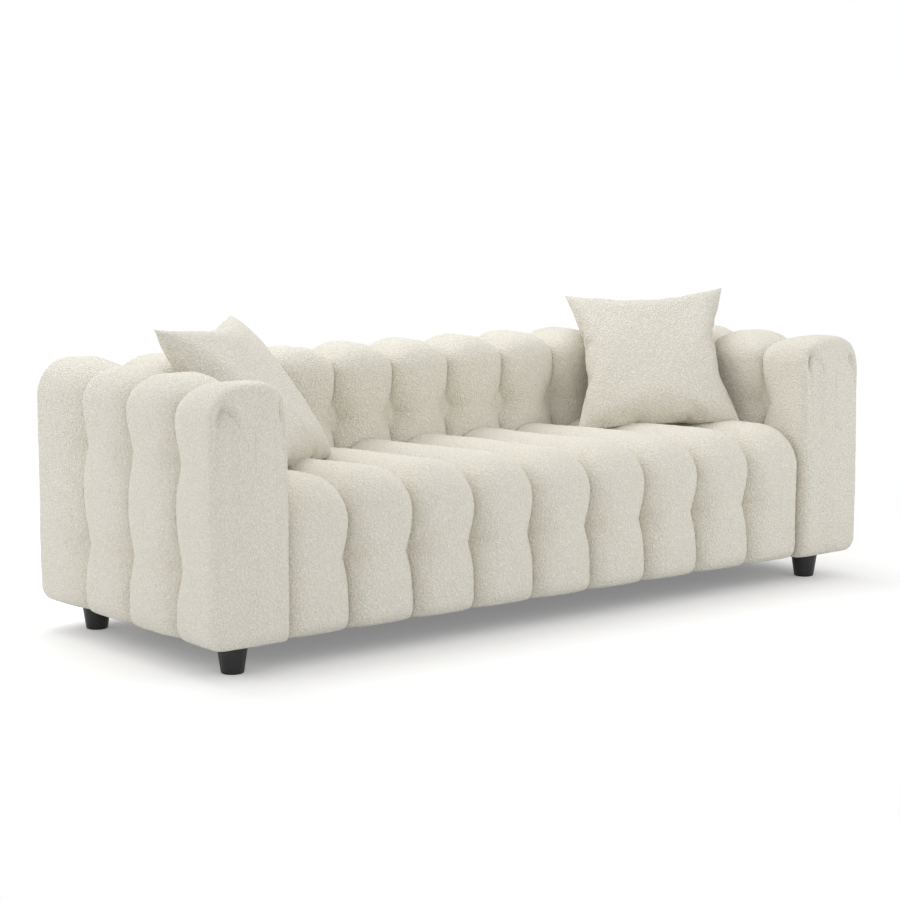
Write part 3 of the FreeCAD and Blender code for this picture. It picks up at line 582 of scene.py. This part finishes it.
# %% Pleats
PLEAT_LENGTH, PLEAT_DEPTH, PLEAT_SPREAD, PLEAT_EDGE = 260.0, 18.0, 45.0, 3.5
PLEAT_FADE, TIP_FADE = 1.2, 5.0
OUTER_TIP, OUTER_DRIFT = 0.6, (48.0, 26.0)
INNER_TIP, INNER_DRIFT = 0.4, (28.0, 48.0)
HOOD_RISE, HOOD = 4.0, (-16.0, 9.0, 12.0, 24.0)
DIMPLE_DEPTH, DIMPLE = 11.0, (8.0, 20.0, 6.0, 17.0)


def mound(down, off, spot):
    """A round mound from 0 to 1, exp(-((down - a)/b)^2 - ((off - c)/d)^2), a to d being spot."""
    a, b, c, d = spot
    return np.exp(-(((down - a) / b) ** 2) - ((off - c) / d) ** 2)


def pleats(travelled, corner, legs):
    """Depth of the front cover's two pleats, negative where the cloth stands out.

    corner is the distance in millimetres across the rounded edge between channel and panel. Each
    pleat is a step along that edge: the channel's cloth lies over the panel's, which is sunk
    beside it and comes back up over PLEAT_SPREAD. It starts at its tip, high on the roll, where
    the cloth hangs over it like a hood, and fades out on its way down, while it drifts across
    the edge from the first to the second distance of its drift.
    """
    outer_tip = legs[0][1] + OUTER_TIP * legs[1][2]
    inner_tip = path_length(legs[:4]) - INNER_TIP * legs[3][2]
    depth = 0 * travelled + 0 * corner
    for tip, way, drift in ((outer_tip, 1, OUTER_DRIFT), (inner_tip, -1, INNER_DRIFT)):
        down = (tip - travelled) * way
        share = np.clip(down / PLEAT_LENGTH, 0, 1)
        off = corner - drift[0] - (drift[1] - drift[0]) * np.sqrt(share)
        fall = np.where(down > 0, (1 - share) ** PLEAT_FADE, np.exp(-((down / TIP_FADE) ** 2)))
        step = np.exp(-np.clip(off, 0, None) / PLEAT_SPREAD) / (1 + np.exp(-off / PLEAT_EDGE))
        depth = depth + PLEAT_DEPTH * step * fall
        depth = depth + DIMPLE_DEPTH * mound(down, off, DIMPLE) - HOOD_RISE * mound(down, off, HOOD)
    return depth


print("pleats", PLEAT_LENGTH, "mm long and up to", PLEAT_DEPTH, "mm deep")

# %% [markdown]
# The channel at each end of an arm doesn't stop at a seam. Its cloth turns a quarter round and
# runs on as the plain end panel. One surface shows this best: seam, arc, quarter round, then rows
# that run in from the outline to the panel's middle line, where the rows of the outer and the
# inner side meet. The quarter round is fuller than a circle, because the stuffing presses into
# the corner, so it is a superellipse.

# %% The surface of an arm end
PANEL_INSET, PANEL_CROWN, CROWN_REACH, CROWN_FADE = 4.0, 5.0, 30.0, 60.0
PANEL_BACK, PANEL_TURN = HALF_DEPTH - WALL_PAD, HALF_DEPTH - PANEL_INSET - WALL_PAD
KNEE_HEIGHT, MIDDLE_HEIGHT = 470.0, 585.0
CORNER_POWER = 3.2
END_EXCESS = 1.1


def end_rows(legs):
    """Distances along an arm's path, with as many rows outside the top's middle as inside it.

    Also gives the number of rows on each side, and the distance up to the middle.
    """
    half = int(path_length(legs) / STEP / 2)
    down = path_length(legs[3:]) + legs[2][1] / 2
    up = path_length(legs) - down
    inside = up + np.linspace(0, down, half + 1)[1:]
    return np.concatenate([np.linspace(0, up, half + 1), inside])[:, None], half, up


def end_channel(arm, end, travelled, base, tufts):
    """u, v and w of the channel at an arm's end and of its quarter round.

    The channel is half a section, so across runs from 1 at the seam to 0 at the turn. In the
    quarter round the height falls as cos^(2/CORNER_POWER) of the angle, while v grows as
    sin^(2/CORNER_POWER). Also gives v at the seam, and the distance across the rounded edge.
    """
    base_u, base_w, heading = base
    seam = HALF_DEPTH - ARM_PITCH
    edge = seam + end * seam_wander(arm, end * seam, travelled, HALF_DEPTH)
    count = int((PANEL_TURN - seam) * END_EXCESS / STEP)
    across = -spaced(2 * count + 1)[: count + 1][None, :]
    v = edge + (PANEL_TURN - edge) * (1 - across)
    row = tuft_row(arm, end * seam, tufts)
    crown = stuffed(travelled, heading, across, (v - edge,), (row,), WALL_PAD)
    angle = np.linspace(0, QUARTER, int(WALL_PAD * QUARTER / STEP) + 1)[None, 1:]
    last = crown[:, -1:]
    height = np.concatenate([crown, last * np.cos(angle) ** (2 / CORNER_POWER)], axis=1)
    around = WALL_PAD * tuck(base_w - FOOT_HEIGHT) * np.sin(angle) ** (2 / CORNER_POWER)
    corner = np.concatenate([v - PANEL_TURN, WALL_PAD * angle + 0 * last], axis=1)
    v = np.concatenate([v, PANEL_TURN + around], axis=1)
    return base_u - height * np.cos(heading), v, base_w + height * np.sin(heading), edge, corner


def end_panel(base, half, knee):
    """u, v and w of the panel: straight rows from the outline in to the middle line.

    The middle line rises evenly to KNEE_HEIGHT, then slower to MIDDLE_HEIGHT, under the middle of
    the top. The panel swells by PANEL_CROWN * (1 - exp(-(depth/CROWN_REACH)^2)), depth being the
    distance in from the outline. Also gives that depth, and the middle line's heights.
    """
    base_u, base_w, _ = base
    inwards = np.concatenate([np.arange(half + 1), np.arange(half)[::-1]]) / half
    middle_w = np.interp(inwards, [0, knee, 1], [FOOT_HEIGHT, KNEE_HEIGHT, MIDDLE_HEIGHT])[:, None]
    run = np.linspace(0, 1, int((ARM_WIDTH / 2 - WALL_PAD) / STEP) + 1)[None, 1:]
    u = base_u + (ARM_WIDTH / 2 - base_u) * run
    w = base_w + (middle_w - base_w) * run
    deep = np.hypot(u - base_u, w - base_w)
    bulge = PANEL_CROWN * (1 - np.exp(-((deep / CROWN_REACH) ** 2)))
    bulge = bulge * np.sqrt(np.clip((w - FOOT_HEIGHT) / CROWN_FADE, 0, 1))
    return u, PANEL_TURN + WALL_PAD * tuck(w - FOOT_HEIGHT) + bulge, w, deep, middle_w


# %% [markdown]
# The surface becomes a cover in four steps: pleats pressed in on the front ones, relief laid on,
# the two sides joined along the middle line, and a flat floor and rear added, so that it is
# closed. The seam side and the mirrored arm turn the grid round, so the faces are turned back
# where they would point inwards.

# %% Arm ends
GUIDE_COLUMN = 3


def end_cover(name, side, end):
    """The first or last channel of an arm together with its end panel; end is -1 or 1."""
    arm = f"{side}_arm"
    legs, tufts = wall_path(ARM_WIDTH, FOOT_HEIGHT)
    travelled, half, up = end_rows(legs)
    base_u, base_w, heading = base = walk(WALL_START, legs, travelled)
    *channel, edge, corner = end_channel(arm, end, travelled, base, tufts)
    *panel, deep, middle_w = end_panel(base, half, legs[0][1] / up)
    corner = np.concatenate([corner, WALL_PAD * QUARTER + deep], axis=1)
    u, v, w = (np.concatenate(pair, axis=1) for pair in zip(channel, panel))
    skin = placed(arm, u, end * v, w)
    normals = normals_of(skin)
    outwards = placed(arm, -np.cos(heading), 0, np.sin(heading)) - BLOCKS[arm][0]
    if (normals[:, GUIDE_COLUMN] * outwards[:, 0]).sum() < 0:
        normals = -normals
    if end < 0:
        skin = skin - normals * pleats(travelled, corner, legs)[..., None]
    fade = np.clip((v - edge) / SEAM_FADE, 0, 1) * np.clip(travelled / FOOT_FADE, 0, 1)
    fade[:, -1] = 0
    skin = relief(skin, normals, fade, COVER_SEED)
    skin[:, -1] = (skin[:, -1] + skin[::-1, -1]) / 2
    foot = placed(arm, base_u, end * edge, base_w)
    back = placed(arm, base_u, end * PANEL_BACK, base_w)
    heart = placed(arm, ARM_WIDTH / 2, end * PANEL_BACK, middle_w)
    sheet = np.concatenate([heart, back, foot, skin], axis=1)
    index = np.arange(sheet.shape[0] * sheet.shape[1]).reshape(sheet.shape[:2])
    for column in (0, -1):
        index[half + 1 :, column] = index[:half, column][::-1]
    quads = grid_faces(index)
    cap = np.concatenate([index[0], index[-1][1:-1][::-1]])
    if (end < 0) == (side == "left"):
        quads = quads[:, ::-1]
    else:
        cap = cap[::-1]
    return make_mesh(name, sheet.reshape(-1, 3), quads, [cap])


ends = []
for side in ("left", "right"):
    for end, word, number in ((-1, "front", 1), (1, "rear", 4)):
        cover = end_cover(f"{side}_arm_{word}_cover", side, end)
        nodes = (f"{side}_arm_channel_{number}", f"{side}_arm_{word}_panel")
        dress(cover, COVER, "sofa", "boucle", *nodes)
        ends.append(cover)
print(len(ends), "arm ends,", sum(len(p.data.polygons) for p in ends), "faces")

# %% [markdown]
# A throw pillow is two squares of cloth sewn edge to edge and stuffed. A formula gives a quick
# shape: edges drawn in, faces swelling to the middle. Only its grid is used here, the one that the
# blown-up version is smoothed on. The two faces are sewn by sharing the points of their edge.

# %% Sewing a pillow
PILLOW_SIZE, PILLOW_SPAN, PILLOW_THICKNESS, PILLOW_DRAW = 445.0, 466.0, 154.0, 16.0
PILLOW_FULLNESS = 0.6
PILLOW_CELLS = 84


def pillow_grid():
    """Both faces of the stuffed pillow by formula, with the grid's s and t from -1 to 1.

    An edge is drawn in by PILLOW_DRAW * (1 - t^2), times s^2, so that the middle stays, and each
    face swells as ((1 - s^2)(1 - t^2))^PILLOW_FULLNESS.
    """
    tick = np.linspace(-1, 1, PILLOW_CELLS + 1)
    s, t = np.meshgrid(tick, tick)
    x = s * (PILLOW_SIZE / 2 - PILLOW_DRAW * (1 - t * t) * s * s)
    y = t * (PILLOW_SIZE / 2 - PILLOW_DRAW * (1 - s * s) * t * t)
    full = np.clip((1 - s * s) * (1 - t * t), 0, 1) ** PILLOW_FULLNESS
    z = PILLOW_THICKNESS / 2 * full
    return [np.stack([x, y, side * z], -1) for side in (1, -1)], s, t


def sewn(name, faces):
    """One closed piece of two square faces of points, which share the points of their edge.

    Also gives the numbers that each face's points have in the piece.
    """
    count = PILLOW_CELLS + 1
    front = np.arange(count * count).reshape(count, count)
    rear = front + count * count
    rear[0], rear[-1] = front[0], front[-1]
    rear[:, 0], rear[:, -1] = front[:, 0], front[:, -1]
    points = np.concatenate([face.reshape(-1, 3) for face in faces])
    quads = np.concatenate([grid_faces(front), grid_faces(rear)[:, ::-1]])
    used = np.unique(quads)
    renumber = np.zeros(len(points), int)
    renumber[used] = np.arange(len(used))
    return make_mesh(name, points[used], renumber[quads]), (renumber[front], renumber[rear])


# %% [markdown]
# Nothing in a real pillow's shape is drawn: blow up a flat square bag and its edges draw in, its
# corners stay pointed and small folds gather along the edges. So a flat bag goes into Blender's
# cloth simulation with a little pressure and no gravity. It starts a little thick and crumpled,
# so that the pressure knows which way is out and the folds differ from edge to edge.

# %% Blowing up the bag
SEAM_ALLOWANCE, FLAT_LIFT, FLAT_SWELL = 8.0, 2.0, 6.0
CRUMPLE, CRUMPLE_SIZE = 0.8, 40.0
CLOTH_STEPS, CACHE_END = 21, 30
CLOTH = {
    "quality": 5,
    "mass": 0.15,
    "tension_stiffness": 30,
    "compression_stiffness": 6,
    "shear_stiffness": 6,
    "bending_stiffness": 2.5,
    "use_pressure": True,
    "uniform_pressure_force": 5.0,
}


def inflated(seed):
    """The two faces after the flat bag is blown up by the cloth simulation."""
    half = PILLOW_SIZE / 2 + SEAM_ALLOWANCE
    tick = np.linspace(-1, 1, PILLOW_CELLS + 1) * half
    x, y = np.meshgrid(tick, tick)
    inner = np.clip((1 - (x / half) ** 2) * (1 - (y / half) ** 2), 0, 1)
    lift = FLAT_LIFT + FLAT_SWELL * inner
    faces = np.stack([np.stack([x, y, side * lift], -1) for side in (1, -1)])
    faces[..., 2] += CRUMPLE * slow_noise(faces, CRUMPLE_SIZE, seed)
    for edge in (faces[:, 0], faces[:, -1], faces[:, :, 0], faces[:, :, -1]):
        edge[..., 2] = 0
    bag, numbers = sewn("flat_bag", faces)
    cloth = bag.modifiers.new("stuffing", "CLOTH")
    for key, value in CLOTH.items():
        setattr(cloth.settings, key, value)
    cloth.settings.effector_weights.gravity = 0
    cloth.point_cache.frame_end = CACHE_END
    for moment in range(1, CLOTH_STEPS + 1):
        bpy.context.scene.frame_set(moment)
    shape = bag.evaluated_get(bpy.context.evaluated_depsgraph_get()).to_mesh()
    blown = np.zeros(len(shape.vertices) * 3, np.float32)
    shape.vertices.foreach_get("co", blown)
    blown = blown.reshape(-1, 3) / MM
    bpy.context.scene.frame_set(1)
    bpy.data.objects.remove(bag)
    return [blown[face] for face in numbers]


# %% [markdown]
# Both pillows stand on the seat, lean on the back and the arm, and are turned to the corner. A
# turn about the upright, a lean and a small tip say that, and the mesh is moved there point by
# point, so the object itself stays at the origin like every other piece. A place is the middle
# in millimetres, then turn, lean and tip in degrees.

# %% Pillows
SMOOTH_PASSES, LET_DOWN = 10, 0.8
RIM_STEEPNESS, PILLOW_SEED = 12, 60
PILLOW_PLACES = {
    "left": ((-686.0, 54.8, 606.0), 32.6, 38.0, 0.5),
    "right": ((696.0, 32.6, 621.0), -39.0, 38.5, 3.5),
}


def settled(face, s, t):
    """A blown-up face as it stands: small folds worn out, the lower edge let down to the seat.

    Each pass moves the inner points half way to the mean of their four neighbours. The lower
    edge loses most of what it was drawn in by, a share that falls off with the square of height.
    """
    for _ in range(SMOOTH_PASSES):
        mean = (face[:-2, 1:-1] + face[2:, 1:-1] + face[1:-1, :-2] + face[1:-1, 2:]) / 4
        face[1:-1, 1:-1] += (mean - face[1:-1, 1:-1]) / 2
    drawn = face[0, face.shape[1] // 2, 1] - (face[0, 0, 1] + face[0, -1, 1]) / 2
    face[..., 1] -= LET_DOWN * drawn * (1 - s * s) * ((1 - t) / 2) ** 2
    return face


def throw_pillow(side, seed):
    """One stuffed pillow, turned, leant and tipped into its place, with the boucle's relief."""
    middle, turn, lean, tip = PILLOW_PLACES[side]
    faces, s, t = pillow_grid()
    blown = inflated(seed)
    size = np.ptp(np.stack(blown), axis=(0, 1, 2))
    span = np.ptp(blown[0][..., 0]) / PILLOW_SPAN
    stretch = np.array([span, span, size[2] / PILLOW_THICKNESS])
    print(side, "pillow blown up to", size.round(), "mm")
    faces = [settled(face / stretch, s, t) for face in blown]
    matrix = (
        Matrix.Rotation(math.radians(turn), 3, "Z")
        @ Matrix.Rotation(math.radians(90 - lean), 3, "X")
        @ Matrix.Rotation(math.radians(tip), 3, "Z")
    )
    rim = np.clip((1 - np.maximum(np.abs(s), np.abs(t))) * RIM_STEEPNESS, 0, 1)
    laid = []
    for face in faces:
        face = face @ np.array(matrix).T + np.array(middle)
        normals = normals_of(face)
        outward = np.sign((normals * (face - np.array(middle))).sum())
        laid.append(relief(face, normals * outward, rim, PILLOW_SEED + seed))
    pillow, _ = sewn(f"{side}_throw_pillow", laid)
    smooth = pillow.modifiers.new("smooth", "SUBSURF")
    smooth.levels = smooth.render_levels = 1
    return pillow


for side, seed in (("left", 5), ("right", 9)):
    pillow = throw_pillow(side, seed)
    nodes = (f"{side}_pillow_cover", f"{side}_pillow_insert")
    dress(pillow, PILLOW_COVER, f"{side}_pillow", "pillow_boucle", *nodes)

# %% [markdown]
# Every other finish on the sofa is plain: one colour that varies a little with one noise
# pattern, which also gives a fine bump. The pattern's scale is given as its grains in a metre,
# worked out from the real grain: foam cells 1.4 mm across make 700 in a metre. A stretch packs
# the grains closer along an axis, so that they lie long in the direction of the wood or weave.

# %% Plain finishes
def plain_finish(
    name, dark, light, per_metre, roughness,
    stretch=(1, 1, 1), relief_mm=0.3, strength=0.4, detail=4.0, metallic=0.0,
):
    """A finish whose colour and bump follow one noise pattern."""
    material = bpy.data.materials.new(name)
    tree = bare_tree(material)
    place = add(tree, "ShaderNodeTexCoord").outputs["Object"]
    place = add(tree, "ShaderNodeMapping", {"Vector": place, "Scale": stretch}).outputs[0]
    grain = add(
        tree, "ShaderNodeTexNoise", {"Vector": place, "Scale": per_metre, "Detail": detail}
    ).outputs["Fac"]
    colour = add(tree, "ShaderNodeValToRGB", {"Fac": grain}, [(0.3, dark), (0.7, light)])
    bump = add(
        tree, "ShaderNodeBump", {"Height": grain, "Strength": strength, "Distance": relief_mm * MM}
    )
    shader = add(
        tree,
        "ShaderNodeBsdfPrincipled",
        {
            "Base Color": colour.outputs["Color"],
            "Normal": bump.outputs[0],
            "Roughness": roughness,
            "Metallic": metallic,
        },
    )
    add(tree, "ShaderNodeOutputMaterial", {"Surface": shader.outputs[0]})
    return material


FINISHES = {
    # Polyurethane foam cut from a block: pale yellow, dull, full of open cells.
    "foam": plain_finish("open_cell_polyurethane_foam", "#E6DDB8", "#F3ECCF", 700, 0.95),
    # Woven elastic webbing: dark brown, its threads drawn out along the band.
    "webbing": plain_finish("elastic_webbing", "#2F2C29", "#57514A", 500, 0.85, (1, 1, 4)),
    # Bonded fibre cloth: black, dull, with a fine uneven felt.
    "dust_cloth": plain_finish("black_nonwoven_dust_cloth", "#101012", "#1D1D20", 600, 0.95),
    # Sawn softwood: yellow, with bands of grain along the board, 5 to 6 mm apart.
    "pine": plain_finish("sawn_pine", "#C79B63", "#E3C492", 18, 0.7, (1, 9, 9)),
    # Pressed wood fibre: brown and smooth, with specks.
    "fibreboard": plain_finish("hardboard", "#6B4A2E", "#80603F", 260, 0.6),
    # Drawn steel wire: dark grey and half bright, with the fine scale of its heat treatment.
    "spring_steel": plain_finish(
        "drawn_spring_steel", "#3E4045", "#585B61", 300, 0.35, relief_mm=0.1, metallic=1.0
    ),
    # Zinc plating: pale grey and brighter, with a faint bloom.
    "zinc_steel": plain_finish(
        "zinc_plated_steel", "#A5A7AB", "#C3C5C9", 200, 0.3, relief_mm=0.1, metallic=1.0
    ),
    # Moulded polypropylene: black and softly glossy, with the mould's own fine grain.
    "foot_plastic": plain_finish(
        "black_moulded_polypropylene", "#0F0F0F", "#181819", 900, 0.42, strength=0.2, detail=2.0
    ),
}
print(len(FINISHES), "plain finishes")

# %% [markdown]
# The feet are injection-moulded black plastic: tapered, with a small radius at the floor and a
# faint matt grain from the mould. Half a profile turned round the foot's axis gives them. The
# profile is a list of radii and heights: the rounded edge at the floor, then the even taper up
# into the sofa's underside.

# %% Feet
FOOT_INSET, FOOT_SIDES = 107.0, 64
FOOT_EDGE = [(24.2, 0.0), (25.0, 0.0), (26.4, 0.5), (27.5, 1.6), (28.0, 3.2)]
FOOT_TOP, FOOT_RINGS = (39.0, 77.0), 8
FOOT_PROFILE = np.concatenate(
    [FOOT_EDGE, np.linspace(FOOT_EDGE[-1], FOOT_TOP, FOOT_RINGS + 1)[1:]]
)


def turned(name, floor, profile):
    """A closed round piece: each radius and height of the profile is a ring round the axis."""
    radius, height = profile.T
    angle = np.linspace(0, 2 * math.pi, FOOT_SIDES, endpoint=False)[None, :]
    x = floor[0] + radius[:, None] * np.cos(angle)
    y = floor[1] + radius[:, None] * np.sin(angle)
    points = np.stack([x, y, height[:, None] + 0 * angle], -1)
    index = np.arange(len(profile) * FOOT_SIDES).reshape(-1, FOOT_SIDES)
    around = np.concatenate([index, index[:, :1]], axis=1)
    return make_mesh(name, points.reshape(-1, 3), grid_faces(around), [index[0][::-1], index[-1]])


for side, x in (("left", -1), ("right", 1)):
    for word, y in (("front", -1), ("rear", 1)):
        floor = (x * (HALF_LENGTH - FOOT_INSET), y * (HALF_DEPTH - FOOT_INSET))
        foot = turned(f"{side}_{word}_moulded_foot", floor, FOOT_PROFILE)
        dress(foot, FINISHES["foot_plastic"], "sofa", "foot_plastic", f"{side}_{word}_foot")
print("feet", 2 * FOOT_EDGE[1][0], "mm across at the floor")

# %% [markdown]
# Inside, hidden but real: foam, webbing and a dust cloth are soft too, so they get their own
# pieces with softened edges in place of the CAD's solids. A copy of the CAD shape with its
# doubled points merged and its edges bevelled is enough for parts that nobody sees.

# %% Hidden soft parts
MERGE_DISTANCE, FLAT_ANGLE, EDGE_SEGMENTS = 1e-5, math.radians(2), 3


def softened(node, name, slot, bevel):
    """A copy of a CAD node, merged into one skin, with rounded edges."""
    mesh = frame["nodes"][node].data.copy()
    work = bmesh.new()
    work.from_mesh(mesh)
    bmesh.ops.remove_doubles(work, verts=work.verts, dist=MERGE_DISTANCE)
    bmesh.ops.dissolve_limit(work, angle_limit=FLAT_ANGLE, verts=work.verts, edges=work.edges)
    work.to_mesh(mesh)
    work.free()
    mesh.name = name
    mesh.materials.clear()
    piece = bpy.data.objects.new(name, mesh)
    bpy.context.scene.collection.objects.link(piece)
    soft = piece.modifiers.new("soft_edges", "BEVEL")
    soft.width, soft.segments, soft.limit_method = bevel * MM, EDGE_SEGMENTS, "ANGLE"
    return dress(piece, FINISHES[slot], "sofa", slot, node)


for node, name in (
    ("seat_foam", "seat_foam_slab"),
    ("back_foam", "back_foam_wrap"),
    ("left_arm_foam", "left_arm_foam_wrap"),
    ("right_arm_foam", "right_arm_foam_wrap"),
):
    softened(node, name, "foam", 4)
softened("back_straps", "back_webbing", "webbing", 0.6)
dust = softened("dust_covers", "dust_cloths", "dust_cloth", 0.3)

# %% [markdown]
# The timber, the boards, the springs and the bolts keep their CAD shapes, because sawn timber and
# bent wire look just like that. They only need a finish: pine with its grain along the sofa,
# brown hardboard, dark drawn wire and bright zinc. The record says which piece gets which.

# %% CAD nodes that stay
slots = {part["node"]: part["material_slot"] for part in frame["record"]["subparts"]}
kept = [node for node, thing in frame["nodes"].items() if not thing.hide_render]
for node in kept:
    mesh = frame["nodes"][node].data
    mesh.materials.clear()
    mesh.materials.append(FINISHES[slots[node]])
print(len(kept), "CAD nodes keep their own shape")

# %% [markdown]
# The studio is white. Cameras and reflections see pure white, but the light that the world gives
# is weaker, so that the sofa keeps its own shades. Light Path tells the two apart: it says what
# kind of ray is asking.

# %% World
SOFT_LIGHT = 0.66
WHITE = tint("#FFFFFF")


def asked_by(tree, *rays):
    """1 where the ray is of one of these kinds, else 0: the largest of Light Path's outputs."""
    path = add(tree, "ShaderNodeLightPath")
    largest = path.outputs[rays[0]]
    for ray in rays[1:]:
        pair = {0: largest, 1: path.outputs[ray]}
        largest = add(tree, "ShaderNodeMath", pair, operation="MAXIMUM").outputs[0]
    return largest


scene = bpy.context.scene
scene.view_settings.view_transform = "Standard"
scene.world = bpy.data.worlds.new("studio")
tree = bare_tree(scene.world)
seen = asked_by(tree, "Is Camera Ray", "Is Glossy Ray", "Is Transmission Ray")
dim = add(tree, "ShaderNodeBackground", {"Color": WHITE, "Strength": SOFT_LIGHT})
full = add(tree, "ShaderNodeBackground", {"Color": WHITE, "Strength": 1.0})
both = add(tree, "ShaderNodeMixShader", {0: seen, 1: dim.outputs[0], 2: full.outputs[0]})
add(tree, "ShaderNodeOutputWorld", {"Surface": both.outputs[0]})

# %% [markdown]
# The floor is matt white paper that keeps the sofa's shadow. Lit like the sofa it would look pale
# grey, so it glows a little, for the camera and reflections only. Away from the sofa it blends
# into pure white, between the two distances from the middle, and so into the background.

# %% Floor
FLOOR_HALF, FLOOR_GLOW = 40, 0.22
BLEND_START, BLEND_END = 1.3, 2.2
corners = [(x * FLOOR_HALF, y * FLOOR_HALF, 0) for x, y in ((-1, -1), (1, -1), (1, 1), (-1, 1))]
floor_mesh = bpy.data.meshes.new("studio_floor")
floor_mesh.from_pydata(corners, [], [(0, 1, 2, 3)])
floor = bpy.data.objects.new("studio_floor", floor_mesh)
scene.collection.objects.link(floor)
paper = bpy.data.materials.new("white_paper_floor")
tree = bare_tree(paper)
matt = add(tree, "ShaderNodeBsdfDiffuse", {"Color": tint("#F4F4F4")})
seen = asked_by(tree, "Is Camera Ray", "Is Glossy Ray")
strength = add(tree, "ShaderNodeMath", {0: seen, 1: FLOOR_GLOW}, operation="MULTIPLY")
glow = add(tree, "ShaderNodeEmission", {"Color": WHITE, "Strength": strength.outputs[0]})
near = add(tree, "ShaderNodeAddShader", {0: matt.outputs[0], 1: glow.outputs[0]})
place = add(tree, "ShaderNodeTexCoord").outputs["Object"]
away = add(tree, "ShaderNodeVectorMath", {0: place}, operation="LENGTH").outputs["Value"]
far = add(
    tree,
    "ShaderNodeMapRange",
    {"Value": away, "From Min": BLEND_START, "From Max": BLEND_END, "To Min": 0.0, "To Max": 1.0},
    interpolation_type="SMOOTHSTEP",
)
far = add(tree, "ShaderNodeMath", {0: far.outputs[0], 1: seen}, operation="MULTIPLY")
blank = add(tree, "ShaderNodeEmission", {"Color": WHITE, "Strength": 1.0})
surface = add(
    tree, "ShaderNodeMixShader", {0: far.outputs[0], 1: near.outputs[0], 2: blank.outputs[0]}
)
add(tree, "ShaderNodeOutputMaterial", {"Surface": surface.outputs[0]})
floor_mesh.materials.append(paper)

# %% [markdown]
# Three large soft lamps: the strongest above and a little behind, so that the tops of the rolls
# are the brightest and the fronts fall off gently, a weaker one in front on the right, and the
# weakest on the left. Sizes and places are in metres, powers in watts. The camera was fitted to
# the photograph: low and far, with a long lens, whose focal length came out in pixels.

# %% Lamps and camera
PHOTO_WIDTH, SENSOR_WIDTH, FOCAL_PIXELS = 900, 36, 2292.6
CAMERA_PLACE, CAMERA_YAW, CAMERA_DROP = (-3.8613, -4.7785, 1.2502), 38.42, 7.76


def lamp(name, place, aim, size, power):
    """A square area lamp that faces the point it is aimed at."""
    light = bpy.data.lights.new(name, "AREA")
    light.size, light.energy = size, power
    thing = bpy.data.objects.new(name, light)
    thing.location = place
    thing.rotation_euler = (Vector(aim) - Vector(place)).to_track_quat("-Z", "Y").to_euler()
    scene.collection.objects.link(thing)


lamp("top_softbox", place=(-0.1, 1.5, 3.3), aim=(0, 0, 0.3), size=3.0, power=61)
lamp("front_softbox", place=(2.4, -3.8, 2.7), aim=(0.4, 0, 0.4), size=2.6, power=38)
lamp("left_softbox", place=(-3.8, 0.8, 2.2), aim=(-1.0, 0.3, 0.4), size=2.4, power=21)

camera = bpy.data.objects.new("camera", bpy.data.cameras.new("camera"))
camera.location = CAMERA_PLACE
camera.rotation_euler = (math.radians(90 - CAMERA_DROP), 0, math.radians(-CAMERA_YAW))
camera.data.lens = FOCAL_PIXELS / PHOTO_WIDTH * SENSOR_WIDTH
camera.data.clip_end = 200
scene.collection.objects.link(camera)
scene.camera = camera
print("lens", round(camera.data.lens, 1), "mm")
